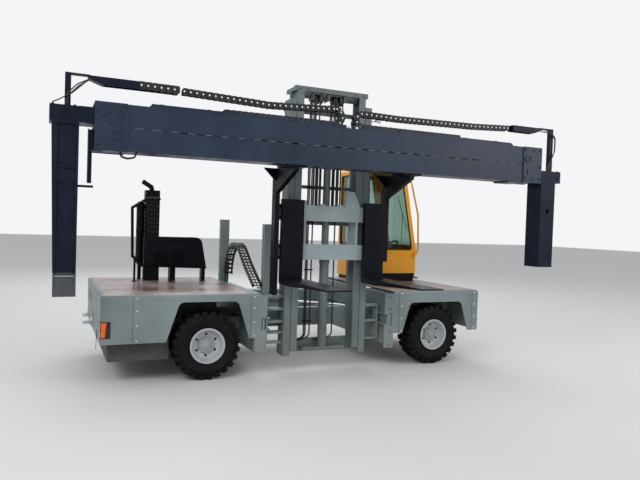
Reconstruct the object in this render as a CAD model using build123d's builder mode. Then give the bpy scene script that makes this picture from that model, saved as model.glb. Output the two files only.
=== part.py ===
"""Side loader forklift with a mast that reaches across the truck and a telescopic container frame.

Millimetres. +X points to the cab end, +Y to the cab side, +Z up. The origin is on the ground,
below the middle of the box that holds the whole machine.
"""

import os
from math import atan2, cos, degrees, hypot, pi, radians, sin

from build123d import *

os.makedirs("parts", exist_ok=True)

# Truck: plan and heights
truck_w = 2260
fork_overhang = 1400
wheel_base = 3216
rear_overhang = 1223
front_overhang = 717
well_w = 1720
well_ahead = 30
deck_z = 1038
deck_t = 27
deck_seam = 1270
rear_skirt_z = 492
front_skirt_z = 467
wall = 8
rim_w = 45
rim_r = 28
rear_beam_w = 150
front_beam_w = 90
well_beam_z = 314
long_beam = (100, 160)
long_beam_z = 500
long_beam_in = 630
far_beam = (200, 530)
far_beam_z = 330
far_beam_in = 330
post = (125, 90, 897)

# Telescopic container frame
beam_l = 5783
beam_z = 2580
tube_h = 237
tube_d = 300
tube_t = 10
leg_w = 250
leg_d = 270
left_leg_z = 1350
right_leg_z = 1420
left_out = 139
right_out = 24
left_cap_over = 22
right_cap_over = 90
mast_off = 56.5
arm_h = 165
arm_t = 12
arm_tail = 4100
pad_gap = 0.3
plate_w = 315
plate_t = 16
slot_l = 620

# Energy chains
chain_w = 84
chain_h = 64
chain_pitch = 75
arch_w = 90
arch_h = 56
arch_pitch = 92

# Mast, reach and lift
mast_w = 1170
rail_w = 90
rail_d = 200
rail_t = 18
stage_gap = 8
mast_back = 140
mast_tie_t = 22
cross_beam_d = 135
mast_foot_z = 215
stage_top_z = 3665
mast_step = 180
crown_t = 62
cylinder_r = 45
lift_rod_r = 28
free_barrel_r = 62
free_rod_r = 47
reach_rail = (45, 120, 20)
reach_rail_z = 600
reach_cylinder_z = 775

# Carriage and forks
fork_w = 290
fork_t = 70
fork_top_z = 2210
blade_z = 1225
left_fork = -561
right_fork = 600
plate_h = 200
carriage_t = 50
plate_upper_z = 1950
plate_lower_z = 1455
column_w = 60
column_out = 805
column_low = (1020, 1440)

# Wheels and axles
tyre_r = 415
tyre_w = 300
rim_seat_r = 195
wheel_in = 50
lug_h = 20
lugs = 16
lug_share = 0.55
rim_flats = 12
king_in = 245
stub_r = 30
king_r = 20
fit_gap = 0.3
bar_flats = 12

# Cab
cab_l = 970
cab_w = 900
cab_ahead = 300
cab_floor_z = 1090
cab_sill_z = 1550
cab_top_z = 2860
cab_wall = 30
glass_t = 6
cab_lean = 250

# Places worked out from the sizes above
near_y = (fork_overhang - truck_w) / 2
far_y = near_y + truck_w
mid_y = (near_y + far_y) / 2
left_reach = left_out + leg_w + left_cap_over
right_reach = right_out + leg_w + right_cap_over
beam_x0 = (left_reach - right_reach - beam_l) / 2
beam_x1 = beam_x0 + beam_l
mast_x = (beam_x0 + beam_x1) / 2 + mast_off
truck_x = mast_x + well_ahead
rear_wheel_x = truck_x - wheel_base / 2
front_wheel_x = truck_x + wheel_base / 2
rear_x = rear_wheel_x - rear_overhang
front_x = front_wheel_x + front_overhang
well_rear = mast_x - well_w / 2
well_front = mast_x + well_w / 2
near_wheel_y = near_y + wheel_in + tyre_w / 2
far_wheel_y = far_y - wheel_in - tyre_w / 2
mast_near_y = near_y + mast_back
mast_far_y = mast_near_y + rail_d
mast_top_z = stage_top_z - mast_step
plate_y = mast_near_y - 90
shank_y = plate_y - fork_t
tip_y = near_y - fork_overhang
beam_y = near_y - 630
beam_top = beam_z + 2 * tube_h
beam_mid_z = beam_z + tube_h


def slab(x, y, z, mode=Mode.ADD):
    """A plate or block between two values on each axis."""
    with BuildSketch(Plane.XY.offset(z[0])) as outline:
        with Locations(((x[0] + x[1]) / 2, (y[0] + y[1]) / 2)):
            Rectangle(x[1] - x[0], y[1] - y[0])
    extrude(outline.sketch, amount=z[1] - z[0], mode=mode)


def along_x(points, x, mode=Mode.ADD):
    """A Y-Z outline run along X between two values."""
    with BuildSketch(Plane.YZ.offset(x[0])) as outline:
        with BuildLine():
            Polyline(*points, close=True)
        make_face()
    extrude(outline.sketch, amount=x[1] - x[0], mode=mode)


def along_y(points, y, mode=Mode.ADD):
    """An X-Z outline run along Y between two values."""
    with BuildSketch(Plane.XZ.offset(-y[0])) as outline:
        with BuildLine():
            Polyline(*points, close=True)
        make_face()
    extrude(outline.sketch, amount=y[0] - y[1], mode=mode)


def bar(start, direction, radius, length, mode=Mode.ADD, flats=bar_flats):
    """A bar from a start point along a direction, with flats, or round when it has none."""
    with BuildSketch(Plane(origin=start, z_dir=direction)) as section:
        if flats:
            RegularPolygon(radius, flats)
        else:
            Circle(radius)
    extrude(section.sketch, amount=length, mode=mode)


def cone(start, direction, radii, length, mode=Mode.ADD, flats=bar_flats):
    """A tapered bar between two radii, each side one flat face."""
    plane = Plane(origin=start, z_dir=direction)
    turns = [2 * pi * k / flats for k in range(flats)]
    rings = [
        [plane.from_local_coords(Vector(radius * cos(a), radius * sin(a), height)) for a in turns]
        for radius, height in ((radii[0], 0), (radii[1], length))
    ]
    corners = [(k, (k + 1) % flats) for k in range(flats)]
    faces = [Face(Wire.make_polygon((rings[0][a], rings[0][b], rings[1][b], rings[1][a]))) for a, b in corners]
    faces += [Face(Wire.make_polygon(ring)) for ring in rings]
    add(Solid(Shell(faces)), mode=mode)


def pad(middle, size, cut):
    """The corners of a rectangle with its corners cut, for raised and sunk panels."""
    x, z = size[0] / 2, size[1] / 2
    corners = ((x - cut, z), (cut - x, z), (-x, z - cut), (-x, cut - z), (cut - x, -z), (x - cut, -z), (x, cut - z), (x, z - cut))
    return [(middle[0] + a, middle[1] + b) for a, b in corners]


def tube(points, radius, flats=8):
    """A mitred tube along straight runs."""
    with BuildLine() as path:
        Polyline(*points)
    with BuildSketch(Plane(origin=path.line @ 0, z_dir=path.line % 0)) as section:
        RegularPolygon(radius, flats)
    sweep(section.sketch, path=path.line, transition=Transition.RIGHT)


def stations(wire, pitch):
    """Even points along a line, about one pitch apart."""
    count = round(wire.length / pitch)
    return [wire.position_at(wire.length * n / count, PositionMode.LENGTH) for n in range(count + 1)]


def links(plane, points, height, width, first=0):
    """Every second link of a chain, as plates between neighbouring points."""
    with BuildSketch(plane) as row:
        for a, b in list(zip(points, points[1:]))[first::2]:
            middle = (a + b) / 2
            with Locations(Location((middle.X, middle.Y, 0), (0, 0, degrees(atan2(b.Y - a.Y, b.X - a.X))))):
                Rectangle((b - a).length + height / 4, height)
    extrude(row.sketch, amount=width)


def save(part, label):
    """Name one finished piece and write its file."""
    part.label = label
    export_step(part, f"parts/{label}.step")


# Main frame: well beams, far cross beam, long beams under both bodies, reach rails, hose post
rail_depth, rail_gap, rail_lip = reach_rail
far_beam_y = (far_y - far_beam_in, far_y - far_beam_in + far_beam[0])
beam_deck_z = deck_z - deck_t - 4
rear_ends = (rear_x + 60, well_rear - rear_beam_w + 5)
front_ends = (well_front + front_beam_w - 5, front_x - 60)
long_beam_ys = (near_y + long_beam_in, far_y - long_beam_in - long_beam[0])

pivot_x = mast_x - 700
pivot_y = far_beam_y[0] - 70
roller_z = reach_rail_z + rail_gap / 2
with BuildPart() as main_frame:
    slab((well_rear - rear_beam_w, well_rear), (near_y, far_y - 130), (well_beam_z, beam_deck_z))
    slab((well_front, well_front + front_beam_w), (near_y, far_y - 130), (well_beam_z, beam_deck_z))
    slab((well_rear - 5, well_front + 5), far_beam_y, (far_beam_z, far_beam_z + far_beam[1]))
    for x0, x1 in (rear_ends, front_ends):
        for xc in (x0 + 40, x1 - 60, front_wheel_x if x0 > 0 else rear_wheel_x):
            slab(
                (xc - 40, xc + 40),
                (long_beam_ys[0] + 5, long_beam_ys[1] + 95),
                (long_beam_z, long_beam_z + long_beam[1]),
            )
        for y0 in long_beam_ys:
            slab((x0, x1), (y0, y0 + long_beam[0]), (long_beam_z, long_beam_z + long_beam[1]))
            slab((x0, x1), (y0 + 20, y0 + 80), (deck_z - deck_t - 60, deck_z - deck_t))
        end = x0 if x0 < 0 else x1 - 80
        for y0 in long_beam_ys:
            slab((end, end + 80), (y0 + 20, y0 + 80), (long_beam_z + 1, deck_z - deck_t))
    for x0, x1 in ((well_rear - 1, well_rear + rail_depth), (well_front - rail_depth, well_front + 1)):
        for z0 in (reach_rail_z - rail_lip, reach_rail_z + rail_gap):
            slab((x0, x1), (near_y, far_beam_y[0] + 1), (z0, z0 + rail_lip))
    # Near ends: a latch pocket with its pin in the rear beam, a notched plate on the front one
    latch_x = well_rear - 36
    slab((latch_x - 30, latch_x + 30), (near_y - 1, near_y + 45), (reach_rail_z - 15, roller_z + 80), Mode.SUBTRACT)
    bar((latch_x, near_y + 24, reach_rail_z - 16), (0, 0, 1), 20, 157)
    slab((well_front - 48, well_front + front_beam_w), (near_y, near_y + 15), (well_beam_z - 36, beam_deck_z))
    slab(
        (well_front - 49, well_front + 68),
        (near_y - 1, near_y + 16),
        (reach_rail_z - rail_lip, reach_rail_z + rail_gap + rail_lip),
        Mode.SUBTRACT,
    )
    # Post that carries the far end of the arched chain
    post_y = (far_y - 520, far_y - 520 + post[1])
    slab((well_rear - 20 - post[0], well_rear - 20), post_y, (beam_deck_z - 1, deck_z + post[2]))
    for z0 in (reach_cylinder_z - 56, reach_cylinder_z + 31):
        slab((pivot_x - 45, pivot_x + 45), (pivot_y - 40, far_beam_y[0] + 1), (z0, z0 + 25))
    bar((pivot_x, pivot_y, reach_cylinder_z - 40), (0, 0, 1), 15, 80, flats=0)
save(main_frame.part, "main_frame")

# Body boxes: one folded sheet each, open below, with an arch for each wheel and an opening for the deck
lamp_pocket = (112, 150, 190)
lamp_z = 560
body_table = (
    # name, rear end, front end, skirt height, wheel place, arch half width low and high, arch top
    ("rear_body", rear_x, well_rear - rear_beam_w, rear_skirt_z, rear_wheel_x, 500, 350, 950),
    ("front_body", well_front + front_beam_w, front_x, front_skirt_z, front_wheel_x, 545, 420, 880),
)
for name, x0, x1, skirt, wheel_x, arch_low, arch_high, arch_top in body_table:
    with BuildPart() as body:
        slab((x0, x1), (near_y, far_y), (skirt, deck_z))
        outer_edges = body.edges().group_by(Axis.Z)[-1]
        well_side = -1 if name == "rear_body" else 0
        fillet(outer_edges - outer_edges.group_by(Axis.X)[well_side], rim_r)
        open_faces = body.faces().sort_by(Axis.Z)[:1] + body.faces().sort_by(Axis.X)[well_side:][:1]
        offset(amount=-wall, openings=open_faces)
        slab(
            (x0 + rim_w, x1 - rim_w),
            (near_y + rim_w, far_y - rim_w),
            (deck_z - 2 * wall, deck_z + 1),
            Mode.SUBTRACT,
        )
        with BuildSketch(Plane.XZ.offset(-far_y - 1)) as arch:
            with BuildLine():
                Polyline(
                    (wheel_x - arch_low, skirt - 1),
                    (wheel_x - arch_high, arch_top),
                    (wheel_x + arch_high, arch_top),
                    (wheel_x + arch_low, skirt - 1),
                    close=True,
                )
            make_face()
            fillet(arch.vertices().group_by(Axis.Y)[-1], 75)
        extrude(arch.sketch, amount=truck_w + 2, mode=Mode.SUBTRACT)
        if name == "rear_body":
            for y0 in (near_y - 1, far_y - lamp_pocket[1]):
                slab(
                    (x0 - 1, x0 + lamp_pocket[0]),
                    (y0, y0 + lamp_pocket[1] + 1),
                    (lamp_z, lamp_z + lamp_pocket[2]),
                    Mode.SUBTRACT,
                )
    save(body.part, name)

# Decks: film-faced boards let into the bodies, two to a body, on bearers that stand on the long beams
with BuildPart() as decks:
    for name, x0, x1, skirt, wheel_x, arch_low, arch_high, arch_top in body_table:
        for y0, y1 in (
            (near_y + rim_w + 2, near_y + deck_seam),
            (near_y + deck_seam + 3, far_y - rim_w - 2),
        ):
            slab((x0 + rim_w + 2, x1 - rim_w - 2), (y0, y1), (deck_z - deck_t, deck_z))
save(decks.part, "decks")

# Heavy blocks: counterweight low in the tail, engine under the rear deck
with BuildPart() as counterweight:
    slab((rear_x + 95, rear_wheel_x - 445), (near_y + 150, far_y - 150), (264, 500))
save(counterweight.part, "counterweight")

with BuildPart() as engine_block:
    slab(
        (rear_x + 150, rear_wheel_x + 250),
        (long_beam_ys[0] + 20, long_beam_ys[1] + 80),
        (long_beam_z + long_beam[1], deck_z - 120),
    )
save(engine_block.part, "engine_block")

# Rear axle: straight tube with a stub for each wheel, seated under the long beams
axle_r = 75
with BuildPart() as rear_axle:
    bar((rear_wheel_x, near_wheel_y + 165, tyre_r), (0, 1, 0), axle_r, far_wheel_y - near_wheel_y - 330)
    bar(
        (rear_wheel_x, near_wheel_y - 60, tyre_r),
        (0, 1, 0),
        stub_r,
        far_wheel_y - near_wheel_y + 120,
        flats=0,
    )
    for y0 in long_beam_ys:
        slab(
            (rear_wheel_x - 90, rear_wheel_x + 90),
            (y0, y0 + long_beam[0]),
            (tyre_r, long_beam_z),
        )
    bar((rear_wheel_x, mid_y - 150, tyre_r), (0, 1, 0), (long_beam_z - tyre_r) * 2, 300, Mode.ADD)
    slab(
        (rear_wheel_x - 200, rear_wheel_x + 200),
        (mid_y - 160, mid_y + 160),
        (long_beam_z, long_beam_z + 200),
        Mode.SUBTRACT,
    )
save(rear_axle.part, "rear_axle")

# Front axle: beam between two king pin eyes, hung from a pivot block under the frame
eye_h = 70
eye_r = 48
king_ys = (near_wheel_y + king_in, far_wheel_y - king_in)
with BuildPart() as front_axle:
    slab((front_wheel_x - 60, front_wheel_x + 60), king_ys, (tyre_r - 60, tyre_r + 60))
    for king_y in king_ys:
        bar((front_wheel_x, king_y, tyre_r - eye_h), (0, 0, 1), eye_r, 2 * eye_h)
    slab((front_wheel_x - 70, front_wheel_x + 70), (mid_y - 120, mid_y + 120), (tyre_r, long_beam_z))
    slab((front_wheel_x - 200, front_wheel_x - 50), (mid_y - 60, mid_y + 60), (tyre_r - 50, tyre_r + 50))
    bar((front_wheel_x - 170, mid_y - 260, tyre_r), (0, 1, 0), 40, 520)
    bar((front_wheel_x - 170, king_ys[0] + 200, tyre_r), (0, 1, 0), 18, king_ys[1] - king_ys[0] - 400)
    for king_y in king_ys:
        bar(
            (front_wheel_x, king_y, tyre_r - eye_h - 1),
            (0, 0, 1),
            (king_r + fit_gap) / cos(pi / bar_flats),
            2 * eye_h + 2,
            Mode.SUBTRACT,
        )
save(front_axle.part, "front_axle")

# Knuckles: a yoke round each king pin eye, with the pin, a stub axle and a steering arm
for name, king_y, side in (("knuckle_near", king_ys[0], -1), ("knuckle_far", king_ys[1], 1)):
    with BuildPart() as knuckle:
        for z0 in (tyre_r - eye_h - 6 - 34, tyre_r + eye_h + 6):
            bar((front_wheel_x, king_y, z0), (0, 0, 1), eye_r, 34)
            slab(
                (front_wheel_x - 40, front_wheel_x + 40),
                sorted((king_y, king_y + side * 85)),
                (z0, z0 + 34),
            )
        slab(
            (front_wheel_x - 60, front_wheel_x + 60),
            sorted((king_y + side * 60, king_y + side * 85)),
            (tyre_r - eye_h - 40, tyre_r + eye_h + 40),
        )
        bar((front_wheel_x, king_y, tyre_r - eye_h - 20), (0, 0, 1), king_r, 2 * eye_h + 40, flats=0)
        bar(
            (front_wheel_x, king_y + side * 80, tyre_r),
            (0, side, 0),
            stub_r,
            king_in - 80 + 60,
            flats=0,
        )
        slab(
            (front_wheel_x - 240, front_wheel_x - 30),
            (king_y - 25, king_y + 25),
            (tyre_r - eye_h - 40, tyre_r - eye_h - 14),
        )
    save(knuckle.part, name)

# Wheels: solid tyre with two staggered rows of lugs, dished disc rim with a hub
wheel_table = (
    # name, place along the truck, place across, outward side
    ("rear_near", rear_wheel_x, near_wheel_y, -1),
    ("rear_far", rear_wheel_x, far_wheel_y, 1),
    ("front_near", front_wheel_x, near_wheel_y, -1),
    ("front_far", front_wheel_x, far_wheel_y, 1),
)
lug_pitch = 360 / lugs
lug_half = lug_share * lug_pitch / 2
lug_root_r = tyre_r - lug_h
# The lowest lug edges just reach the ground
lug_tip_r = tyre_r / cos(radians(lug_pitch / 2 - lug_half))


def tread(turn):
    """The outline of one row of lugs, its first lug pointing up before it is turned."""
    points = []
    for n in range(lugs):
        middle = 90 + turn + n * lug_pitch
        for radius, angle in (
            (lug_root_r, middle - lug_half - 2),
            (lug_tip_r, middle - lug_half),
            (lug_tip_r, middle + lug_half),
            (lug_root_r, middle + lug_half + 2),
        ):
            points.append((radius * cos(radians(angle)), radius * sin(radians(angle))))
    return points


for name, wheel_x, wheel_y, side in wheel_table:
    hub = Vector(wheel_x, wheel_y, tyre_r)
    half = tyre_w / 2
    with BuildPart() as tyre:
        for row, turn in ((0, 0), (1, lug_pitch / 2)):
            start = wheel_y - half + row * half
            with BuildSketch(Plane(origin=(wheel_x, start, tyre_r), x_dir=(1, 0, 0), z_dir=(0, -1, 0))) as lug_row:
                with BuildLine():
                    Polyline(*tread(turn), close=True)
                make_face()
            extrude(lug_row.sketch, amount=-half)
        bar(hub - Vector(0, tyre_w, 0), (0, 1, 0), rim_seat_r, 2 * tyre_w, Mode.SUBTRACT, rim_flats)
    save(tyre.part, f"tyre_{name}")

    out = Vector(0, side, 0)
    with BuildPart() as rim:
        bar(hub - out * (half - 30), out, rim_seat_r - fit_gap, tyre_w - 22, flats=rim_flats)
        cone(hub + out * (half + fit_gap), out, (rim_seat_r + 18, rim_seat_r + 8), 8, flats=rim_flats)
        cone(hub + out * 58, out, (150, 182), half - 49, Mode.SUBTRACT, rim_flats)
        bar(hub - out * half, out, 176, half + 42, Mode.SUBTRACT, rim_flats)
        bar(hub - out * 70, out, 88, 156, flats=rim_flats)
        stub_hole = (stub_r + fit_gap) / cos(pi / rim_flats)
        bar(hub - out * tyre_w, out, stub_hole, 2 * tyre_w, Mode.SUBTRACT, rim_flats)
    save(rim.part, f"rim_{name}")

# Tow coupling: jaw on the tail with a vertical pin bore
tow_z = 620
with BuildPart() as tow_coupling:
    slab((rear_x - 20, rear_x), (mid_y - 110, mid_y + 110), (tow_z - 90, tow_z + 90))
    for z0 in (tow_z - 60, tow_z + 36):
        slab((rear_x - 125, rear_x - 15), (mid_y - 60, mid_y + 60), (z0, z0 + 24))
    bar((rear_x - 80, mid_y, tow_z - 100), (0, 0, 1), 18, 200, Mode.SUBTRACT, flats=0)
save(tow_coupling.part, "tow_coupling")

# Lamps: set into the rear corners, flat on the front end
with BuildPart() as lamps:
    for y0, y1 in ((near_y + 6, near_y + lamp_pocket[1]), (far_y - lamp_pocket[1], far_y - 6)):
        slab((rear_x + 6, rear_x + lamp_pocket[0]), (y0, y1), (lamp_z, lamp_z + lamp_pocket[2]))
    for y0 in (near_y + 60, far_y - 200):
        slab((front_x, front_x + 14), (y0, y0 + 140), (700, 860))
save(lamps.part, "lamps")

# Exhaust on the far edge of the rear deck: shroud, slanted tail pipe, air cleaner beside it
stack_x = well_rear - rear_beam_w - 1064
stack_y = far_y - 380
with BuildPart() as exhaust:
    slab((stack_x, stack_x + 194), (stack_y, stack_y + 190), (deck_z, 2320))
    tube(
        (
            (stack_x + 95, stack_y + 95, 2310),
            (stack_x + 82, stack_y + 95, 2370),
            (stack_x - 42, stack_y + 95, 2446),
        ),
        34,
        bar_flats,
    )
save(exhaust.part, "exhaust")

with BuildPart() as air_cleaner:
    bar((stack_x - 60, stack_y + 95, 1290), (0, 0, 1), 56, 830)
    cone((stack_x - 60, stack_y + 95, 1240), (0, 0, 1), (26, 56), 50)
    bar((stack_x - 60, stack_y + 95, deck_z), (0, 0, 1), 26, 203)
save(air_cleaner.part, "air_cleaner")

# Engine hood along the stack: a low box with its top edge rounded towards the well, on posts
hood_x = (stack_x - 36, stack_x + 849)
hood_y = (far_y - 560, far_y - 388)
hood_z = (deck_z + 195, 1661)
with BuildPart() as engine_hood:
    with BuildSketch(Plane.XZ.offset(-hood_y[0])) as outline:
        with BuildLine():
            Polyline(
                (hood_x[0], hood_z[0]),
                (hood_x[0], hood_z[1]),
                (hood_x[1] - 80, hood_z[1]),
                (hood_x[1], hood_z[0]),
                close=True,
            )
        make_face()
        fillet(outline.vertices().group_by(Axis.Y)[-1].sort_by(Axis.X)[-1], 90)
    extrude(outline.sketch, amount=hood_y[0] - hood_y[1])
    slab((stack_x + 204, hood_x[1] - 100), (hood_y[1] - 1, far_y - 200), (hood_z[0], hood_z[1] - 20))
    for x0, x1 in ((hood_x[0] + 4, hood_x[0] + 214), (hood_x[0] + 365, hood_x[0] + 445), (hood_x[1] - 60, hood_x[1] - 10)):
        slab((x0, x1), (hood_y[0] + 20, hood_y[1] - 20), (deck_z, hood_z[0] + 1))
save(engine_hood.part, "engine_hood")

# Guard rail along the near side of the hood, ending on the shroud
rail_y = hood_y[0] - 60
with BuildPart() as guard_rail:
    tube(
        (
            (stack_x + 145, stack_y, 2190),
            (stack_x + 145, rail_y, 2190),
            (stack_x - 20, rail_y, 2185),
            (stack_x - 216, rail_y, 2057),
            (stack_x - 200, rail_y, 1389),
            (stack_x - 72, rail_y, 1260),
            (stack_x + 833, rail_y, 1236),
        ),
        20,
    )
    for x0 in (stack_x - 168, stack_x + 329, stack_x + 782):
        top = 1356 if x0 < stack_x else 1236
        slab((x0 - 14, x0 + 14), (rail_y - 10, rail_y + 10), (deck_z, top))
save(guard_rail.part, "guard_rail")

# Cab: black base, yellow lower body with pillars and roof, glass, door, seat, controls
cab_x0 = well_front + cab_ahead
cab_x1 = cab_x0 + cab_l
cab_y1 = far_y - 30
cab_y0 = cab_y1 - cab_w
pillar = 75
door_edge = 60
door_gap = 5
with BuildPart() as cab_floor:
    slab((cab_x0 + 20, cab_x1 - 20), (cab_y0 + 20, cab_y1 - 20), (deck_z, cab_floor_z))
save(cab_floor.part, "cab_floor")


def cab_face(y, inset, low):
    """A side outline of the cab, moved in by an inset and cut off below a height."""
    with BuildSketch(Plane.XZ.offset(-y)) as face:
        with BuildLine():
            Polyline(
                (cab_x0, cab_floor_z),
                (cab_x0, cab_top_z),
                (cab_x1 - cab_lean, cab_top_z),
                (cab_x1, cab_sill_z),
                (cab_x1, cab_floor_z),
                close=True,
            )
        make_face()
        chamfer(face.vertices().group_by(Axis.Y)[-1], 56)
        chamfer(face.vertices().sort_by(Axis.Y)[-4:], 22)
        if inset:
            offset(amount=-inset, mode=Mode.REPLACE)
        with Locations(((cab_x0 + cab_x1) / 2, (low + cab_top_z) / 2)):
            Rectangle(2 * cab_l, cab_top_z - low, mode=Mode.INTERSECT)
    return face.sketch


def front_x_at(z):
    """Where the leaning front of the cab is at a height above the sill."""
    return cab_x1 - cab_lean * (z - cab_sill_z) / (cab_top_z - cab_sill_z)


screen_z = (cab_sill_z + 60, cab_top_z - 130)
door_x = cab_x0 + door_edge + door_gap
hinge_x = door_x - 4
hinge_y = cab_y1 + 18
hinge_r = 10
hinge_pin_r = 6
hinge_h = 60
hinge_zs = (cab_floor_z + 200, cab_top_z - 400)
with BuildPart() as cab_shell:
    extrude(cab_face(cab_y0, 0, cab_floor_z), amount=-cab_w)
    extrude(cab_face(cab_y0 + cab_wall, cab_wall, cab_floor_z), amount=2 * cab_wall - cab_w, mode=Mode.SUBTRACT)
    extrude(cab_face(cab_y0 - 1, pillar, cab_sill_z), amount=-cab_wall - 2, mode=Mode.SUBTRACT)
    extrude(cab_face(cab_y1 - cab_wall - 1, door_edge, cab_floor_z), amount=-cab_wall - 2, mode=Mode.SUBTRACT)
    slab((cab_x1 - cab_lean - 150, cab_x1 + 1), (cab_y0 + pillar, cab_y1 - pillar), screen_z, Mode.SUBTRACT)
    slab(
        (cab_x0 - 1, cab_x0 + cab_wall + 1),
        (cab_y0 + pillar, cab_y1 - pillar),
        (cab_sill_z + 40, cab_top_z - 130),
        Mode.SUBTRACT,
    )
    for z0 in hinge_zs:
        bar((hinge_x, hinge_y, z0 - 12), (0, 0, 1), hinge_pin_r, hinge_h + 24, flats=0)
        for z1 in (z0 - 13, z0 + hinge_h + 1):
            slab((cab_x0 + 8, cab_x0 + door_edge - 8), (cab_y1 - 1, hinge_y + 9), (z1, z1 + 12))
            slab((cab_x0 + 8, hinge_x + 9), (hinge_y - 9, hinge_y + 9), (z1, z1 + 12))
save(cab_shell.part, "cab_shell")

with BuildPart() as cab_glass:
    extrude(cab_face(cab_y0 + 12, pillar, cab_sill_z), amount=-glass_t)
    along_y(
        (
            (front_x_at(screen_z[0]) - 12, screen_z[0]),
            (front_x_at(screen_z[0]) - 12 - glass_t, screen_z[0]),
            (front_x_at(screen_z[1]) - 12 - glass_t, screen_z[1]),
            (front_x_at(screen_z[1]) - 12, screen_z[1]),
        ),
        (cab_y0 + pillar, cab_y1 - pillar),
    )
    slab(
        (cab_x0 + 12, cab_x0 + 12 + glass_t),
        (cab_y0 + pillar, cab_y1 - pillar),
        (cab_sill_z + 40, cab_top_z - 130),
    )
save(cab_glass.part, "cab_glass")

with BuildPart() as cab_door:
    extrude(cab_face(cab_y1 - cab_wall, door_edge + door_gap, cab_floor_z + door_gap), amount=-cab_wall)
    extrude(cab_face(cab_y1 - cab_wall - 1, door_edge + 70, cab_sill_z), amount=-cab_wall - 2, mode=Mode.SUBTRACT)
    for z0 in hinge_zs:
        bar((hinge_x, hinge_y, z0), (0, 0, 1), hinge_r, hinge_h)
        slab((hinge_x, door_x + 50), (hinge_y - 6, hinge_y + 4), (z0, z0 + hinge_h))
        slab((door_x + 6, door_x + 50), (cab_y1 - 1, hinge_y), (z0, z0 + hinge_h))
        bar(
            (hinge_x, hinge_y, z0 - 1),
            (0, 0, 1),
            (hinge_pin_r + fit_gap) / cos(pi / bar_flats),
            hinge_h + 2,
            Mode.SUBTRACT,
        )
save(cab_door.part, "cab_door")

with BuildPart() as door_glass:
    extrude(cab_face(cab_y1 - 18, door_edge + 70, cab_sill_z), amount=-glass_t)
save(door_glass.part, "door_glass")

seat_x = cab_x0 + 90
seat_y = (cab_y0 + cab_y1) / 2
inside_z = cab_floor_z + cab_wall
with BuildPart() as cab_seat:
    slab((seat_x + 80, seat_x + 400), (seat_y - 150, seat_y + 150), (inside_z, inside_z + 230))
    slab((seat_x + 20, seat_x + 480), (seat_y - 240, seat_y + 240), (inside_z + 229, inside_z + 350))
    along_y(
        (
            (seat_x + 20, inside_z + 300),
            (seat_x + 130, inside_z + 300),
            (seat_x + 80, inside_z + 920),
            (seat_x, inside_z + 920),
        ),
        (seat_y - 230, seat_y + 230),
    )
save(cab_seat.part, "cab_seat")

wheel_tilt = 30
wheel_r = 170
steer_at = Vector(cab_x1 - 250, seat_y, cab_sill_z + 40)
steer_axis = Vector(-sin(radians(wheel_tilt)), 0, cos(radians(wheel_tilt)))
with BuildPart() as cab_controls:
    slab((cab_x1 - 200, cab_x1 - 60), (seat_y - 170, seat_y + 170), (inside_z, cab_sill_z - 80))
    bar(steer_at - steer_axis * 190, steer_axis, 24, 185)
    with BuildSketch(Plane(origin=steer_at - steer_axis * 12, x_dir=(0, 1, 0), z_dir=steer_axis)) as grip:
        RegularPolygon(wheel_r + 13, 24)
        RegularPolygon(wheel_r - 13, 24, mode=Mode.SUBTRACT)
        Rectangle(2 * wheel_r, 30)
        Circle(34)
    extrude(grip.sketch, amount=22)
    slab((seat_x + 60, seat_x + 420), (cab_y0 + 60, cab_y0 + 170), (inside_z, inside_z + 450))
save(cab_controls.part, "cab_controls")

# Grab rail at the near front corner of the cab, bowed along the leaning pillar
grab_r = 15
grab_y = cab_y0 - grab_r - 8
grab_ends = ((front_x_at(2705) - 10, 2705), (cab_x1 - 30, 1460))
with BuildPart() as grab_rail:
    tube(
        (
            (grab_ends[0][0] - 10, grab_y, grab_ends[0][1]),
            (grab_ends[0][0] + 50, grab_y, grab_ends[0][1]),
            (cab_x1 - 130, grab_y, 2600),
            (cab_x1 + 8, grab_y, 2112),
            (cab_x1 + 31, grab_y, 1581),
            (cab_x1 + 10, grab_y, 1490),
            (grab_ends[1][0], grab_y, grab_ends[1][1]),
        ),
        grab_r,
    )
    for x, z in grab_ends:
        slab((x - 20, x + 12), (grab_y - grab_r, cab_y0), (z - 16, z + 16))
save(grab_rail.part, "grab_rail")

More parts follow.
